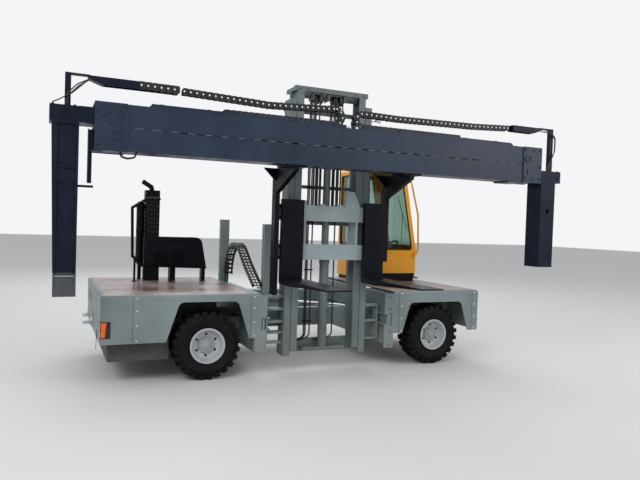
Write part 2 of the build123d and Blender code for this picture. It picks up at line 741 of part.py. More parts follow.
# Reach carriage: side plates with rollers in the rails, cross beam behind the mast, ladder plates, chain post
outer_half = mast_w / 2
inner_half = outer_half - rail_w - stage_gap
roller_r = rail_gap / 2 - fit_gap
roller_ys = (mast_far_y - 10, mast_far_y + 200)
cross_z = (reach_rail_z - 35, reach_rail_z + 200)
cross_y = (mast_far_y + mast_tie_t + 6, mast_far_y + cross_beam_d)
eye_x = mast_x + 550
eye_y = cross_y[1] + 55
ladder_y = (mast_near_y + 40, mast_near_y + 130)
anchor_y = mast_far_y - 10
with BuildPart() as reach_frame:
    for side, rungs in ((-1, (374, 500, 640, 800, 966)), (1, (374, 610, 820))):
        x_in = mast_x + side * (well_w / 2 - rail_depth - 28)
        x_out = mast_x + side * (well_w / 2 - rail_depth - 6)
        slab(sorted((x_in, x_out)), (roller_ys[0] - 50, roller_ys[1] + 50), cross_z)
        slab(sorted((x_in, x_out)), (ladder_y[0], roller_ys[0] - 20), (rungs[0], rungs[-1] + 30))
        for y in roller_ys:
            bar((x_in, y, roller_z), (side, 0, 0), 25, 60)
            bar((x_out + side * 4, y, roller_z), (side, 0, 0), roller_r, rail_depth - 2)
        x_rail = mast_x + side * outer_half
        slab(sorted((x_rail, x_rail - side * rail_w)), (mast_far_y, cross_y[1]), cross_z)
        for z0 in rungs:
            slab(sorted((x_rail, x_in)), ladder_y, (z0, z0 + 30))
    slab(
        (mast_x - well_w / 2 + rail_depth + 20, mast_x + well_w / 2 - rail_depth - 20),
        cross_y,
        cross_z,
    )
    slab((eye_x - 28, eye_x + 40), cross_y, (cross_z[1] - 1, reach_cylinder_z + 60))
    for z0 in (reach_cylinder_z - 60, reach_cylinder_z + 35):
        slab((eye_x - 40, eye_x + 40), (cross_y[1] - 1, eye_y + 35), (z0, z0 + 25))
    # Post that carries the near end of the arched chain
    post_x = mast_x - well_w / 2 + rail_depth + 6
    slab((post_x, post_x + 22), (anchor_y - 50, anchor_y + 50), (cross_z[1] - 1, 1001))
    slab((post_x - 16, post_x + 69), (anchor_y - 50, anchor_y + 50), (1000, 1890))
    slab((post_x - 70, post_x - 15), (anchor_y - 35, anchor_y + 45), (1066, 1082))
save(reach_frame.part, "reach_frame")

# Arched energy chain between the two posts: two rows of link plates with rungs across
arch_x = well_rear - 65
arch_ends = ((post_y[0] - 40, 1130), (anchor_y + 5, 1082 + arch_h / 2))
with BuildLine() as arch_path:
    Spline(
        arch_ends[0],
        (arch_ends[0][0] - 60, 1370),
        (800, 1590),
        (470, 1450),
        arch_ends[1],
        tangents=((0, 1), (-0.8, -0.6)),
    )
arch_points = stations(arch_path.wires()[0], arch_pitch)
arch_rims = []
for before, point, after in zip(arch_points[:1] + arch_points, arch_points, arch_points[1:] + arch_points[-1:]):
    along = (after - before).normalized() * (arch_h / 2)
    across = Vector(-along.Y, along.X)
    arch_rims.append((point + across, point - across))
with BuildPart() as reach_chain:
    for x0 in (arch_x, arch_x + arch_w - 10):
        ribbon = [(a.X, a.Y) for a, b in arch_rims] + [(b.X, b.Y) for a, b in reversed(arch_rims)]
        along_x(ribbon, (x0, x0 + 10))
    with BuildSketch(Plane.YZ.offset(arch_x + 9)) as rungs:
        for a, b in zip(arch_points, arch_points[1:]):
            middle = (a + b) / 2
            turn = degrees(atan2(b.Y - a.Y, b.X - a.X))
            with Locations(Location((middle.X, middle.Y, 0), (0, 0, turn))):
                Rectangle(26, arch_h - 22)
    extrude(rungs.sketch, amount=arch_w - 18)
    slab(
        (arch_x + 10, arch_x + arch_w - 10),
        (arch_ends[0][0] - 18, post_y[0]),
        (1110, 1170),
    )
save(reach_chain.part, "reach_chain")

# Reach cylinder: laid across the well behind the mast, hinged on the far beam, its eye between two plates
reach_l = hypot(eye_x - pivot_x, eye_y - pivot_y)
reach_angle = atan2(eye_y - pivot_y, eye_x - pivot_x)
barrel_l = 800
rod_l = 1140
reach_dir = Vector(cos(reach_angle), sin(reach_angle), 0)
pivot = Vector(pivot_x, pivot_y, reach_cylinder_z)
with BuildPart() as reach_cylinder:
    bar(pivot + reach_dir * 75, reach_dir, cylinder_r, barrel_l)
    bar(pivot - Vector(0, 0, 25), (0, 0, 1), 36, 50)
    bar(pivot + reach_dir * 20, reach_dir, 24, 60)
    bar(pivot + reach_dir * 95, reach_dir, lift_rod_r, barrel_l, Mode.SUBTRACT)
    bar(pivot - Vector(0, 0, 40), (0, 0, 1), (15 + fit_gap) / cos(pi / bar_flats), 80, Mode.SUBTRACT)
save(reach_cylinder.part, "reach_cylinder")

with BuildPart() as reach_rod:
    bar(pivot + reach_dir * (reach_l - rod_l), reach_dir, lift_rod_r - 6, rod_l - 25)
    bar(pivot + reach_dir * (reach_l - rod_l), reach_dir, lift_rod_r - fit_gap, 60)
    bar((eye_x, eye_y, reach_cylinder_z - 25), (0, 0, 1), 34, 50)
save(reach_rod.part, "reach_rod")


def mast_rail(side, x_out, z):
    """A channel rail of the mast, its web on the outer side, open towards the middle."""
    with BuildSketch(Plane.XY.offset(z[0])) as channel:
        with Locations((mast_x + side * (x_out - rail_w / 2), (mast_near_y + mast_far_y) / 2)):
            Rectangle(rail_w, rail_d)
        with Locations((mast_x + side * (x_out - rail_w / 2 - rail_t), (mast_near_y + mast_far_y) / 2)):
            Rectangle(rail_w, rail_d - 2 * rail_t, mode=Mode.SUBTRACT)
    extrude(channel.sketch, amount=z[1] - z[0])


stage_foot_z = mast_foot_z + 60
tie_y = (mast_far_y + 6, mast_far_y + 6 + mast_tie_t)
with BuildPart() as outer_mast:
    for side in (-1, 1):
        mast_rail(side, outer_half, (mast_foot_z, mast_top_z))
    for z0, h in ((mast_foot_z + 10, 130), (mast_top_z - 1110, 45), (mast_top_z - 132, 56)):
        slab((mast_x - outer_half, mast_x + outer_half), tie_y, (z0, z0 + h))
        for side in (-1, 1):
            x_rail = mast_x + side * outer_half
            slab(sorted((x_rail, x_rail - side * (rail_w - 6))), (mast_far_y - 1, tie_y[1] - 1), (z0, z0 + h))
save(outer_mast.part, "outer_mast")

mast_roller_r = rail_d / 2 - rail_t - fit_gap
rail_mid_y = (mast_near_y + mast_far_y) / 2
free_x = mast_x
free_y = mast_near_y + 100
strand_x = 125
pulley_r = 56
lift_x = 470
lift_y = tie_y[1] + cylinder_r + 10
crown_z = stage_top_z - crown_t
stage_tie_y = (mast_far_y - 16, mast_far_y - 1)
anchor_tie_z = 1900
hose_pulleys = (-230, -140, 60, 150)
with BuildPart() as inner_mast:
    for side in (-1, 1):
        mast_rail(side, inner_half, (stage_foot_z, crown_z + 1))
        bar(
            (mast_x + side * (inner_half - 4), rail_mid_y, stage_foot_z + 110),
            (side, 0, 0),
            mast_roller_r,
            stage_gap + rail_w - rail_t - 2,
        )
    # Crown: a near bar, a lower bar behind it, and ears that rest on the lift rods
    slab((mast_x - 520, mast_x + 520), (mast_near_y, mast_near_y + 60), (crown_z, stage_top_z))
    slab((mast_x - 520, mast_x + 520), (mast_far_y - 40, mast_far_y), (crown_z - 50, stage_top_z - 12))
    for side in (-1, 1):
        ear = sorted((mast_x + side * 520, mast_x + side * 420))
        slab(ear, (mast_near_y + 59, lift_y + cylinder_r), (crown_z, stage_top_z - 12))
    for z0, h in ((stage_foot_z, 130), (anchor_tie_z, 100), (stage_top_z - 765, 100)):
        slab((mast_x - inner_half + rail_w - 2, mast_x + inner_half - rail_w + 2), stage_tie_y, (z0, z0 + h))
    slab(
        (mast_x - 300, mast_x + 300),
        (free_y - 70, stage_tie_y[0] + 1),
        (stage_foot_z, stage_foot_z + 30),
    )
    for side in (-1, 1):
        x = free_x + side * strand_x
        slab((x - 25, x + 25), (free_y + pulley_r - 10, stage_tie_y[0] + 1), (anchor_tie_z + 40, anchor_tie_z + 100))
    # Hose pulleys on one axle under the crown
    bar((mast_x + hose_pulleys[0] - 30, rail_mid_y, crown_z - 62), (1, 0, 0), 14, hose_pulleys[-1] - hose_pulleys[0] + 60)
    for x in (hose_pulleys[0] - 36, -50, hose_pulleys[-1] + 28):
        slab((mast_x + x, mast_x + x + 10), (rail_mid_y - 30, mast_far_y - 20), (crown_z - 90, crown_z - 20))
        slab((mast_x + x, mast_x + x + 10), (mast_near_y + 20, rail_mid_y + 30), (crown_z - 90, crown_z + 1))
    for x in hose_pulleys:
        bar((mast_x + x - 22, rail_mid_y, crown_z - 62), (1, 0, 0), 52, 44)
save(inner_mast.part, "inner_mast")

barrel_z = (cross_z[1], mast_top_z - 150)
with BuildPart() as lift_barrels:
    for side in (-1, 1):
        bar((mast_x + side * lift_x, lift_y, barrel_z[0]), (0, 0, 1), cylinder_r, barrel_z[1] - barrel_z[0])
        bar((mast_x + side * lift_x, lift_y, barrel_z[0] + 20), (0, 0, 1), lift_rod_r + 5, 5000, Mode.SUBTRACT)
save(lift_barrels.part, "lift_barrels")

with BuildPart() as lift_rods:
    for side in (-1, 1):
        bar((mast_x + side * lift_x, lift_y, barrel_z[0] + 60), (0, 0, 1), lift_rod_r, crown_z - barrel_z[0] - 60)
save(lift_rods.part, "lift_rods")

free_z = (stage_foot_z + 30, 1450)
head_z = stage_top_z - 875
pulley_z = head_z + 60
with BuildPart() as free_barrel:
    bar((free_x, free_y, free_z[0]), (0, 0, 1), free_barrel_r, free_z[1] - free_z[0])
    bar((free_x, free_y, free_z[0] + 20), (0, 0, 1), free_rod_r + 4, 5000, Mode.SUBTRACT)
save(free_barrel.part, "free_barrel")

with BuildPart() as free_rod:
    bar((free_x, free_y, free_z[0] + 555), (0, 0, 1), free_rod_r, head_z - free_z[0] - 554)
    slab((free_x - 170, free_x + 170), (free_y - 22, free_y + 22), (head_z, head_z + 70))
    for side in (-1, 1):
        bar((free_x + side * strand_x - 20, free_y, pulley_z), (1, 0, 0), pulley_r, 40)
save(free_rod.part, "free_rod")

# Lift chains: front strands down to the carriage, rear strands down to the stage's tie
anchor_z = plate_upper_z + plate_h + 40
strand_w = 32
strand_t = 12
for name, y0, foot in (
    ("front_strands", free_y - pulley_r - strand_t, anchor_z - 20),
    ("rear_strands", free_y + pulley_r, anchor_tie_z + 100),
):
    with BuildPart() as strands:
        for side in (-1, 1):
            x = free_x + side * strand_x
            slab((x - strand_w / 2, x + strand_w / 2), (y0, y0 + strand_t), (foot, pulley_z))
    save(strands.part, name)

# Fork carriage: two cross plates on roller brackets that run in the inner rails
bracket_x = inner_half - rail_w - 14
with BuildPart() as fork_carriage:
    for z0 in (plate_lower_z, plate_upper_z):
        slab((mast_x - column_out + column_w, mast_x + column_out - column_w), (plate_y, plate_y + carriage_t), (z0, z0 + plate_h))
    for side in (-1, 1):
        x = mast_x + side * bracket_x
        slab(sorted((x, x - side * 30)), (plate_y + 1, rail_mid_y + 40), (plate_lower_z, fork_top_z))
        for z0 in (plate_lower_z + 90, fork_top_z - 100):
            bar((x - side * 5, rail_mid_y, z0), (side, 0, 0), mast_roller_r, rail_w - rail_t + 10)
    for side in (-1, 1):
        x = free_x + side * strand_x
        slab((x - 30, x + 30), (plate_y + carriage_t - 1, free_y - 50), (anchor_z - 60, anchor_z - 20))
        slab((x - 30, x + 30), (plate_y + 1, plate_y + carriage_t), (plate_upper_z + plate_h - 1, anchor_z - 20))
    # Trapezoid plate that guides the hoses
    lug_x = mast_x + 190
    plate_top = plate_upper_z + plate_h
    along_y(
        ((lug_x, plate_top - 1), (lug_x + 15, plate_top + 195), (lug_x + 130, plate_top + 202), (lug_x + 225, plate_top - 1)),
        (plate_y + 1, plate_y + 21),
    )
save(fork_carriage.part, "fork_carriage")

with BuildPart() as forks:
    for x in (mast_x + left_fork, mast_x + right_fork):
        along_x(
            (
                (plate_y, fork_top_z),
                (shank_y, fork_top_z),
                (shank_y, blade_z),
                (tip_y, blade_z),
                (tip_y, blade_z - 14),
                (shank_y - 300, blade_z - fork_t),
                (plate_y - 20, blade_z - fork_t),
                (plate_y, blade_z - fork_t + 30),
            ),
            (x - fork_w / 2, x + fork_w / 2),
        )
save(forks.part, "forks")

# Columns that carry the frame beam on the carriage, with a gusset and a flange under the beam
with BuildPart() as beam_columns:
    for side, low in ((-1, column_low[0]), (1, column_low[1])):
        x = sorted((mast_x + side * column_out, mast_x + side * (column_out - column_w)))
        along_x(
            (
                (plate_y + carriage_t, low),
                (shank_y, low),
                (shank_y, beam_z - 300),
                (beam_y + 20, beam_z - 70),
                (beam_y + 20, beam_z),
                (plate_y + carriage_t, beam_z),
            ),
            x,
        )
        slab((x[0] - 110, x[1] + 110), (beam_y + 20, beam_y + tube_d - 20), (beam_z - 24, beam_z))
        along_y(
            ((x[0] - 160, beam_z - 1), (x[1] + 160, beam_z - 1), (x[1] + 10, beam_z - 150), (x[0] - 10, beam_z - 150)),
            (shank_y + 1, shank_y + 21),
        )
save(beam_columns.part, "beam_columns")

# Frame beam: two stacked tubes open at the ends, seam with slots, bossed side plates, chain troughs on top
arm_low = tube_t + 4
trough_xs = ((beam_x0 + 560, -40), (50, beam_x1 - 450))
seam_xs = (-2100, -1250, -400, 450, 1300)
with BuildPart() as frame_beam:
    slab((beam_x0, beam_x1), (beam_y, beam_y + tube_d), (beam_z, beam_top))
    for z0 in (beam_z, beam_z + tube_h):
        slab(
            (beam_x0 - 1, beam_x1 + 1),
            (beam_y + tube_t, beam_y + tube_d - tube_t),
            (z0 + tube_t, z0 + tube_h - tube_t),
            Mode.SUBTRACT,
        )
    # The tubes meet in a groove, with long slots between their welds
    for y0 in (beam_y - 1, beam_y + tube_d - 5):
        slab((beam_x0 - 1, beam_x1 + 1), (y0, y0 + 6), (beam_mid_z - 6, beam_mid_z + 6), Mode.SUBTRACT)
    for x0 in seam_xs:
        slab((x0, x0 + slot_l), (beam_y - 1, beam_y + tube_d + 1), (beam_mid_z - 6, beam_mid_z + 6), Mode.SUBTRACT)
    for x0, z0 in ((beam_x0, beam_z + tube_h), (beam_x1 - 200, beam_z)):
        slab(
            (x0, x0 + 200),
            (beam_y + 30, beam_y + tube_d - 30),
            (z0 + tube_t - 1, z0 + arm_low - pad_gap),
        )
    for x0 in (beam_x0, beam_x1 - plate_w):
        for y0 in (beam_y - plate_t, beam_y + tube_d):
            slab((x0, x0 + plate_w), (y0, y0 + plate_t), (beam_z - 8, beam_top + 4))
    # Pin boss and locking slot on each near plate
    for boss_x, boss_z, slot_x, slot_z, slot in (
        (beam_x0 + 223, beam_z + 151, beam_x0 + 243, beam_z + 331, (60, 140)),
        (beam_x1 - 241, beam_z + 307, beam_x1 - 253, beam_z + 136, (26, 72)),
    ):
        face_y = beam_y - plate_t
        bar((boss_x, face_y - 12, boss_z), (0, 1, 0), 52, 13)
        bar((boss_x, face_y - 13, boss_z), (0, 1, 0), 38, 11, Mode.SUBTRACT)
        along_y(pad((slot_x, slot_z), slot, slot[0] * 0.3), (face_y - 1, face_y + 10), Mode.SUBTRACT)
    slab((beam_x1 - plate_w - 240, beam_x1 - plate_w + 1), (beam_y, beam_y + tube_d), (beam_z - 20, beam_z + 1))
    for x0, x1 in trough_xs:
        slab((x0, x1), (beam_y + 90, beam_y + 210), (beam_top - 1, beam_top + 8))
        for y0 in (beam_y + 90, beam_y + 202):
            slab((x0, x1), (y0, y0 + 8), (beam_top, beam_top + 50))
    # Perforated channel that hangs at the left end
    hang_x = beam_x0 - 10
    slab((hang_x - 40, hang_x), (beam_y + 110, beam_y + 190), (beam_z - 330, beam_z + 215))
    slab((hang_x - 33, hang_x - 7), (beam_y + 109, beam_y + 182), (beam_z - 331, beam_z + 216), Mode.SUBTRACT)
    slab((hang_x - 40, beam_x0 + 90), (beam_y + 110, beam_y + 190), (beam_z - 10, beam_z + 1))
save(frame_beam.part, "frame_beam")

# Telescopic arms: inner beam in its tube, cap, tapered leg, shoe, and the post and tray of the energy chain
arm_table = (
    # name, direction, tube, extension at rest, cap past the leg, cap towards the beam, foot height, taper,
    # post from the cap's end, tray top, tray from the beam's end, tray length
    ("left", -1, 1, left_out, left_cap_over, 72, left_leg_z, 36, 137, 3322, 62, 900),
    ("right", 1, 0, right_out, right_cap_over, 18, right_leg_z, 4, 44, 3350, 85, 510),
)
arm_y = (beam_y + tube_t + 8, beam_y + tube_d - tube_t - 8)
tray_y = (beam_y + 95, beam_y + 205)
for name, side, level, out, over, cap_in, foot_z, taper, post_in, tray_top, tray_out, tray_l in arm_table:
    end_x = beam_x0 if side < 0 else beam_x1
    leg_x = end_x + side * out
    leg_out = leg_x + side * leg_w
    tube_z = beam_z + level * tube_h
    arm_z = (tube_z + arm_low, tube_z + arm_low + arm_h)
    with BuildPart() as arm:
        tail_x = leg_x - side * arm_tail
        slab(sorted((tail_x, leg_x)), arm_y, arm_z)
        slab(
            sorted((tail_x - side * 10, leg_x - side * 30)),
            (arm_y[0] + arm_t, arm_y[1] - arm_t),
            (arm_z[0] + arm_t, arm_z[1] - arm_t),
            Mode.SUBTRACT,
        )
        # Wear pad on the tail, just clear of the tube's roof
        slab(
            sorted((tail_x, tail_x + side * 300)),
            (arm_y[0] + 20, arm_y[1] - 20),
            (arm_z[1] - 1, tube_z + tube_h - tube_t - pad_gap),
        )
        # Cap
        slab(
            sorted((leg_x - side * cap_in, leg_out + side * over)),
            (beam_y, beam_y + leg_d),
            (arm_z[0], arm_z[1] - 6),
        )
        along_y(
            (
                (leg_x, arm_z[0] + 5),
                (leg_out, arm_z[0] + 5),
                (leg_out - side * taper, foot_z),
                (leg_x, foot_z),
            ),
            (beam_y, beam_y + leg_d),
        )
        leg_mid = leg_x + side * (leg_w - taper) / 2
        if side < 0:
            # Recessed face with a cross bar, two short bars and a bossed slot
            slab(
                sorted((leg_x + side * 22, leg_x + side * (leg_w - taper - 22))),
                (beam_y - 1, beam_y + 22),
                (foot_z - 1, arm_z[0] - 20),
                Mode.SUBTRACT,
            )
            slab(sorted((leg_x + side * 20, leg_x + side * (leg_w - taper - 20))), (beam_y + 4, beam_y + 23), (2382, 2404))
            for x0 in (leg_x + side * 20, leg_x + side * (leg_w - taper - 64)):
                slab(sorted((x0, x0 + side * 44)), (beam_y + 8, beam_y + 23), (2232, 2246))
            along_y(pad((leg_mid, 1884), (110, 240), 34), (beam_y + 10, beam_y + 23))
            along_y(pad((leg_mid, 1884), (82, 212), 24), (beam_y + 9, beam_y + 20), Mode.SUBTRACT)
            bar((leg_mid, beam_y + 10, 1884), (0, 1, 0), 30, 12)
            bar((leg_x, beam_y + 150, 2215), (-side, 0, 0), 12, 150)
        else:
            bar((leg_mid, beam_y - 1, 2195), (0, 1, 0), 30, 26, Mode.SUBTRACT)
        # Pin boss on the cap
        boss_at = (leg_mid if side < 0 else leg_out + 40, beam_y - 10, (arm_z[0] + arm_z[1]) / 2 - 12)
        bar(boss_at, (0, 1, 0), 46 if side < 0 else 18, 11)
        if side < 0:
            bar((boss_at[0], beam_y - 11, boss_at[2]), (0, 1, 0), 36, 9, Mode.SUBTRACT)
        # Chain post on the cap, thin arm, and the tray open below
        post_out = leg_out + side * (over - post_in)
        tray_x = end_x - side * tray_out if side > 0 else end_x - 62
        slab(sorted((post_out, post_out - side * 56)), (beam_y + 120, beam_y + 180), (arm_z[1] - 8, tray_top + 12))
        tray_in = (end_x + 85) if side > 0 else (end_x - 62)
        slab(sorted((post_out, tray_in - side * 20)), (beam_y + 120, beam_y + 180), (tray_top - 6, tray_top + 11))
        along_y(
            (
                (tray_in, tray_top),
                (tray_in - side * tray_l, tray_top),
                (tray_in - side * tray_l, tray_top - 80),
                (tray_in - side * 140, tray_top - 80),
                (tray_in, tray_top - 30),
            ),
            tray_y,
        )
        slab(
            sorted((tray_in - side * 150, tray_in - side * (tray_l + 1))),
            (tray_y[0] + 5, tray_y[1] - 5),
            (tray_top - 81, tray_top - 6),
            Mode.SUBTRACT,
        )
    save(arm.part, f"arm_{name}")

    if side < 0:
        with BuildPart() as shoe:
            shoe_x = sorted((leg_x, leg_out - side * taper))
            for x in ((shoe_x[0] + 2, shoe_x[0] + 18), (shoe_x[1] - 18, shoe_x[1] - 2)):
                along_x(
                    (
                        (beam_y + 60, foot_z),
                        (beam_y - 60, foot_z),
                        (beam_y - 110, foot_z - 222),
                        (beam_y + 20, foot_z - 222),
                        (beam_y + 150, foot_z - 60),
                        (beam_y + 150, foot_z),
                    ),
                    x,
                )
            along_x(
                (
                    (beam_y - 50, foot_z - 30),
                    (beam_y - 38, foot_z - 30),
                    (beam_y - 96, foot_z - 222),
                    (beam_y - 110, foot_z - 222),
                ),
                (shoe_x[0] + 12, shoe_x[1] - 12),
            )
            slab((shoe_x[0] + 10, shoe_x[1] - 10), (beam_y + 20, beam_y + 150), (foot_z - 30, foot_z))
        save(shoe.part, "leg_shoe")

# Energy chains of the arms: a run of links that leaves the tray, bends round, and lies in the trough
chain_low = beam_top + 8 + fit_gap
chain_y = beam_y + 150 - chain_w / 2
chain_table = (
    # name, direction, run from the tray to the bend, top of the bend, end of the lower run
    ("left", -1, ((-1980, 3277), (-1000, 3240), (-400, 3268)), (-182, 3282), -1500),
    ("right", 1, ((2420, 3302), (1840, 3272), (700, 3252)), (185, 3262), 1600),
)
for name, side, run, (bend_x, bend_top), low_end in chain_table:
    bend_low = chain_low + chain_h / 2
    bend_r = (bend_top - bend_low) / 2
    with BuildLine() as path:
        Polyline(*run, (bend_x, bend_top))
        ThreePointArc((bend_x, bend_top), (bend_x - side * bend_r, bend_low + bend_r), (bend_x, bend_low))
    points = stations(path.wires()[0], chain_pitch)
    with BuildPart() as energy_chain:
        links(Plane.XZ.offset(-chain_y - chain_w), points, chain_h, chain_w, 0)
        links(Plane.XZ.offset(-chain_y - chain_w + 5), points, chain_h - 8, chain_w - 10, 1)
        slab(sorted((low_end, bend_x)), (chain_y + 2, chain_y + chain_w - 2), (chain_low, chain_low + chain_h - 4))
    save(energy_chain.part, f"chain_{name}")
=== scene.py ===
"""Looks for a side loader forklift with a telescopic container frame.

Metres. +X points to the cab end, +Y to the cab side, +Z up, the ground at Z = 0.
"""

import logging
import math
from dataclasses import dataclass, field
from enum import Enum
from typing import Sequence

import bmesh
import bpy
from mathutils import Matrix, Vector


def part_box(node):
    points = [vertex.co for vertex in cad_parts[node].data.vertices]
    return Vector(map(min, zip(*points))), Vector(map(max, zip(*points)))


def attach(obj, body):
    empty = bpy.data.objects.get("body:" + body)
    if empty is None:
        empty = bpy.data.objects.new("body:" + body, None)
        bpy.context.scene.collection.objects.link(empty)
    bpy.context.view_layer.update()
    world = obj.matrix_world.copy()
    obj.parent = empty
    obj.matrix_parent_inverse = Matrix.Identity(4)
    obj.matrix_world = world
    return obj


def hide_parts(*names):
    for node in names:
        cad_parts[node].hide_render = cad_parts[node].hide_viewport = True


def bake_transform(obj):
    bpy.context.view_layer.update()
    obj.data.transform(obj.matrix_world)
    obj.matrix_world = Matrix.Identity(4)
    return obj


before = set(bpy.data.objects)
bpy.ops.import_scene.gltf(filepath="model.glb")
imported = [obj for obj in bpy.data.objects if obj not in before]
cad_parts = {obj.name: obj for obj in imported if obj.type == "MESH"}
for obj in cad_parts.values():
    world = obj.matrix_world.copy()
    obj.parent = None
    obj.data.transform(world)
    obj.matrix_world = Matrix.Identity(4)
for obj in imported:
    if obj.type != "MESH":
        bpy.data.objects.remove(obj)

log = logging.getLogger("side_loader")
Point = tuple[float, float, float]
Flat = tuple[float, float]
Route = Sequence[Sequence[float]]
Socket = bpy.types.NodeSocket
Tree = bpy.types.NodeTree
Piece = bpy.types.Object
NEARWARD, FARWARD, UPWARD, CABWARD, TAILWARD = (0, -1, 0), (0, 1, 0), (0, 0, 1), (1, 0, 0), (-1, 0, 0)


def linear(colour: str) -> tuple[float, float, float, float]:
    """Turn an sRGB hex value into the linear colour that a node takes.

    Args:
        colour: six hex digits after a hash sign.

    Returns:
        Red, green, blue and an alpha of one.
    """
    parts = [int(colour[i : i + 2], 16) / 255 for i in (1, 3, 5)]
    red, green, blue = (v / 12.92 if v <= 0.04045 else ((v + 0.055) / 1.055) ** 2.4 for v in parts)
    return red, green, blue, 1.0


def feed(tree: Tree, socket: Socket, value: object) -> None:
    """Link a value that is a socket to an input, or set it as the input's own."""
    if isinstance(value, Socket):
        tree.links.new(value, socket)
    else:
        socket.default_value = value


def add(tree: Tree, kind: str, settings: dict | None = None, inputs: dict | None = None) -> bpy.types.Node:
    """Add a node with its settings and links.

    Args:
        tree: the node tree that takes it.
        kind: the node's type name.
        settings: values of its own properties.
        inputs: input name or number, with a plain value or the socket that feeds it.

    Returns:
        The new node.
    """
    made = tree.nodes.new(kind)
    for name, value in (settings or {}).items():
        setattr(made, name, value)
    for key, value in (inputs or {}).items():
        feed(tree, made.inputs[key], value)
    return made


def link(name: str, data: bpy.types.ID) -> Piece:
    """Put a new object with its data into the scene."""
    made = bpy.data.objects.new(name, data)
    bpy.context.scene.collection.objects.link(made)
    return made


def circle(centre: Vector, first: Vector, second: Vector, radius: float, sides: int) -> list[Vector]:
    """Give points round a centre, in the plane of two directions."""
    turns = (2 * math.pi * k / sides for k in range(sides))
    return [centre + (first * math.cos(a) + second * math.sin(a)) * radius for a in turns]


def arc(centre: Flat, radius: float, start: float, end: float, steps: int = 12) -> list[Flat]:
    """Give points on a flat arc between two angles in degrees."""
    angles = [math.radians(start + (end - start) * k / steps) for k in range(steps + 1)]
    return [(centre[0] + radius * math.cos(a), centre[1] + radius * math.sin(a)) for a in angles]


def soft_corners(low: Flat, high: Flat, radius: float, steps: int = 4) -> list[Flat]:
    """Give the outline of a rectangle with round corners."""
    (x0, y0), (x1, y1) = (low[0] + radius, low[1] + radius), (high[0] - radius, high[1] - radius)
    corners = enumerate(((x1, y1), (x0, y1), (x0, y0), (x1, y0)))
    return [point for k, corner in corners for point in arc(corner, radius, 90 * k, 90 * k + 90, steps)]


def rounded(points: Route, radius: float, steps: int = 6, closed: bool = False) -> list[Vector]:
    """Round a route's corners.

    Args:
        points: the corners of the route.
        radius: the bend radius at each corner.
        steps: points on each bend.
        closed: whether the last point joins the first.

    Returns:
        The points of the rounded route. A closed one ends where it starts.
    """
    corners = [Vector(p) for p in points]
    count = len(corners)
    route: list[Vector] = [] if closed else [corners[0]]
    for i in range(0 if closed else 1, count if closed else count - 1):
        before, here, after = corners[i - 1], corners[i], corners[(i + 1) % count]
        back, on = (before - here).normalized(), (after - here).normalized()
        reach = radius / math.tan(back.angle(on) / 2)
        reach = min(reach, (before - here).length * 0.49, (after - here).length * 0.49)
        start, end = here + back * reach, here + on * reach
        for t in (k / steps for k in range(steps + 1)):
            route.append(start * (1 - t) ** 2 + here * 2 * t * (1 - t) + end * t * t)
    route.append(route[0] if closed else corners[-1])
    return route


def walk(route: Route, pitch: float) -> list[tuple[Vector, Vector]]:
    """Step along a route in even steps, the first at half a step.

    Args:
        route: its corners.
        pitch: the step.

    Returns:
        A place and a direction for each step.
    """
    points = [Vector(p) for p in route]
    steps, carried = [], pitch / 2
    for one, two in zip(points, points[1:]):
        run = two - one
        while carried <= run.length:
            steps.append((one + run * (carried / run.length), run.normalized()))
            carried += pitch
        carried -= run.length
    return steps


class Way(Enum):
    """An axis to run an outline along: what X, Y and Z take, 0 for the stop, 1 and 2 for the point's own."""

    X = (0, 1, 2)
    Y = (1, 0, 2)
    Z = (1, 2, 0)


@dataclass(frozen=True)
class Bend:
    """A hold on two bodies that one joint joins, for a chain or hose that runs from one to the other."""

    first: str
    second: str
    start: Point
    end: Point


def settle(made: Piece, body: str | Bend, replaces: Sequence[str] = ()) -> Piece:
    """Parent a piece to its body's empty, or bake its place in for a Bend; hide the nodes it stands for and
    log it.
    """
    if isinstance(body, Bend):
        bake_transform(made)
    else:
        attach(made, body)
    if replaces:
        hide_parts(*replaces)
    log.info("%s: %d faces on %s", made.name, len(made.data.polygons), body)
    return made


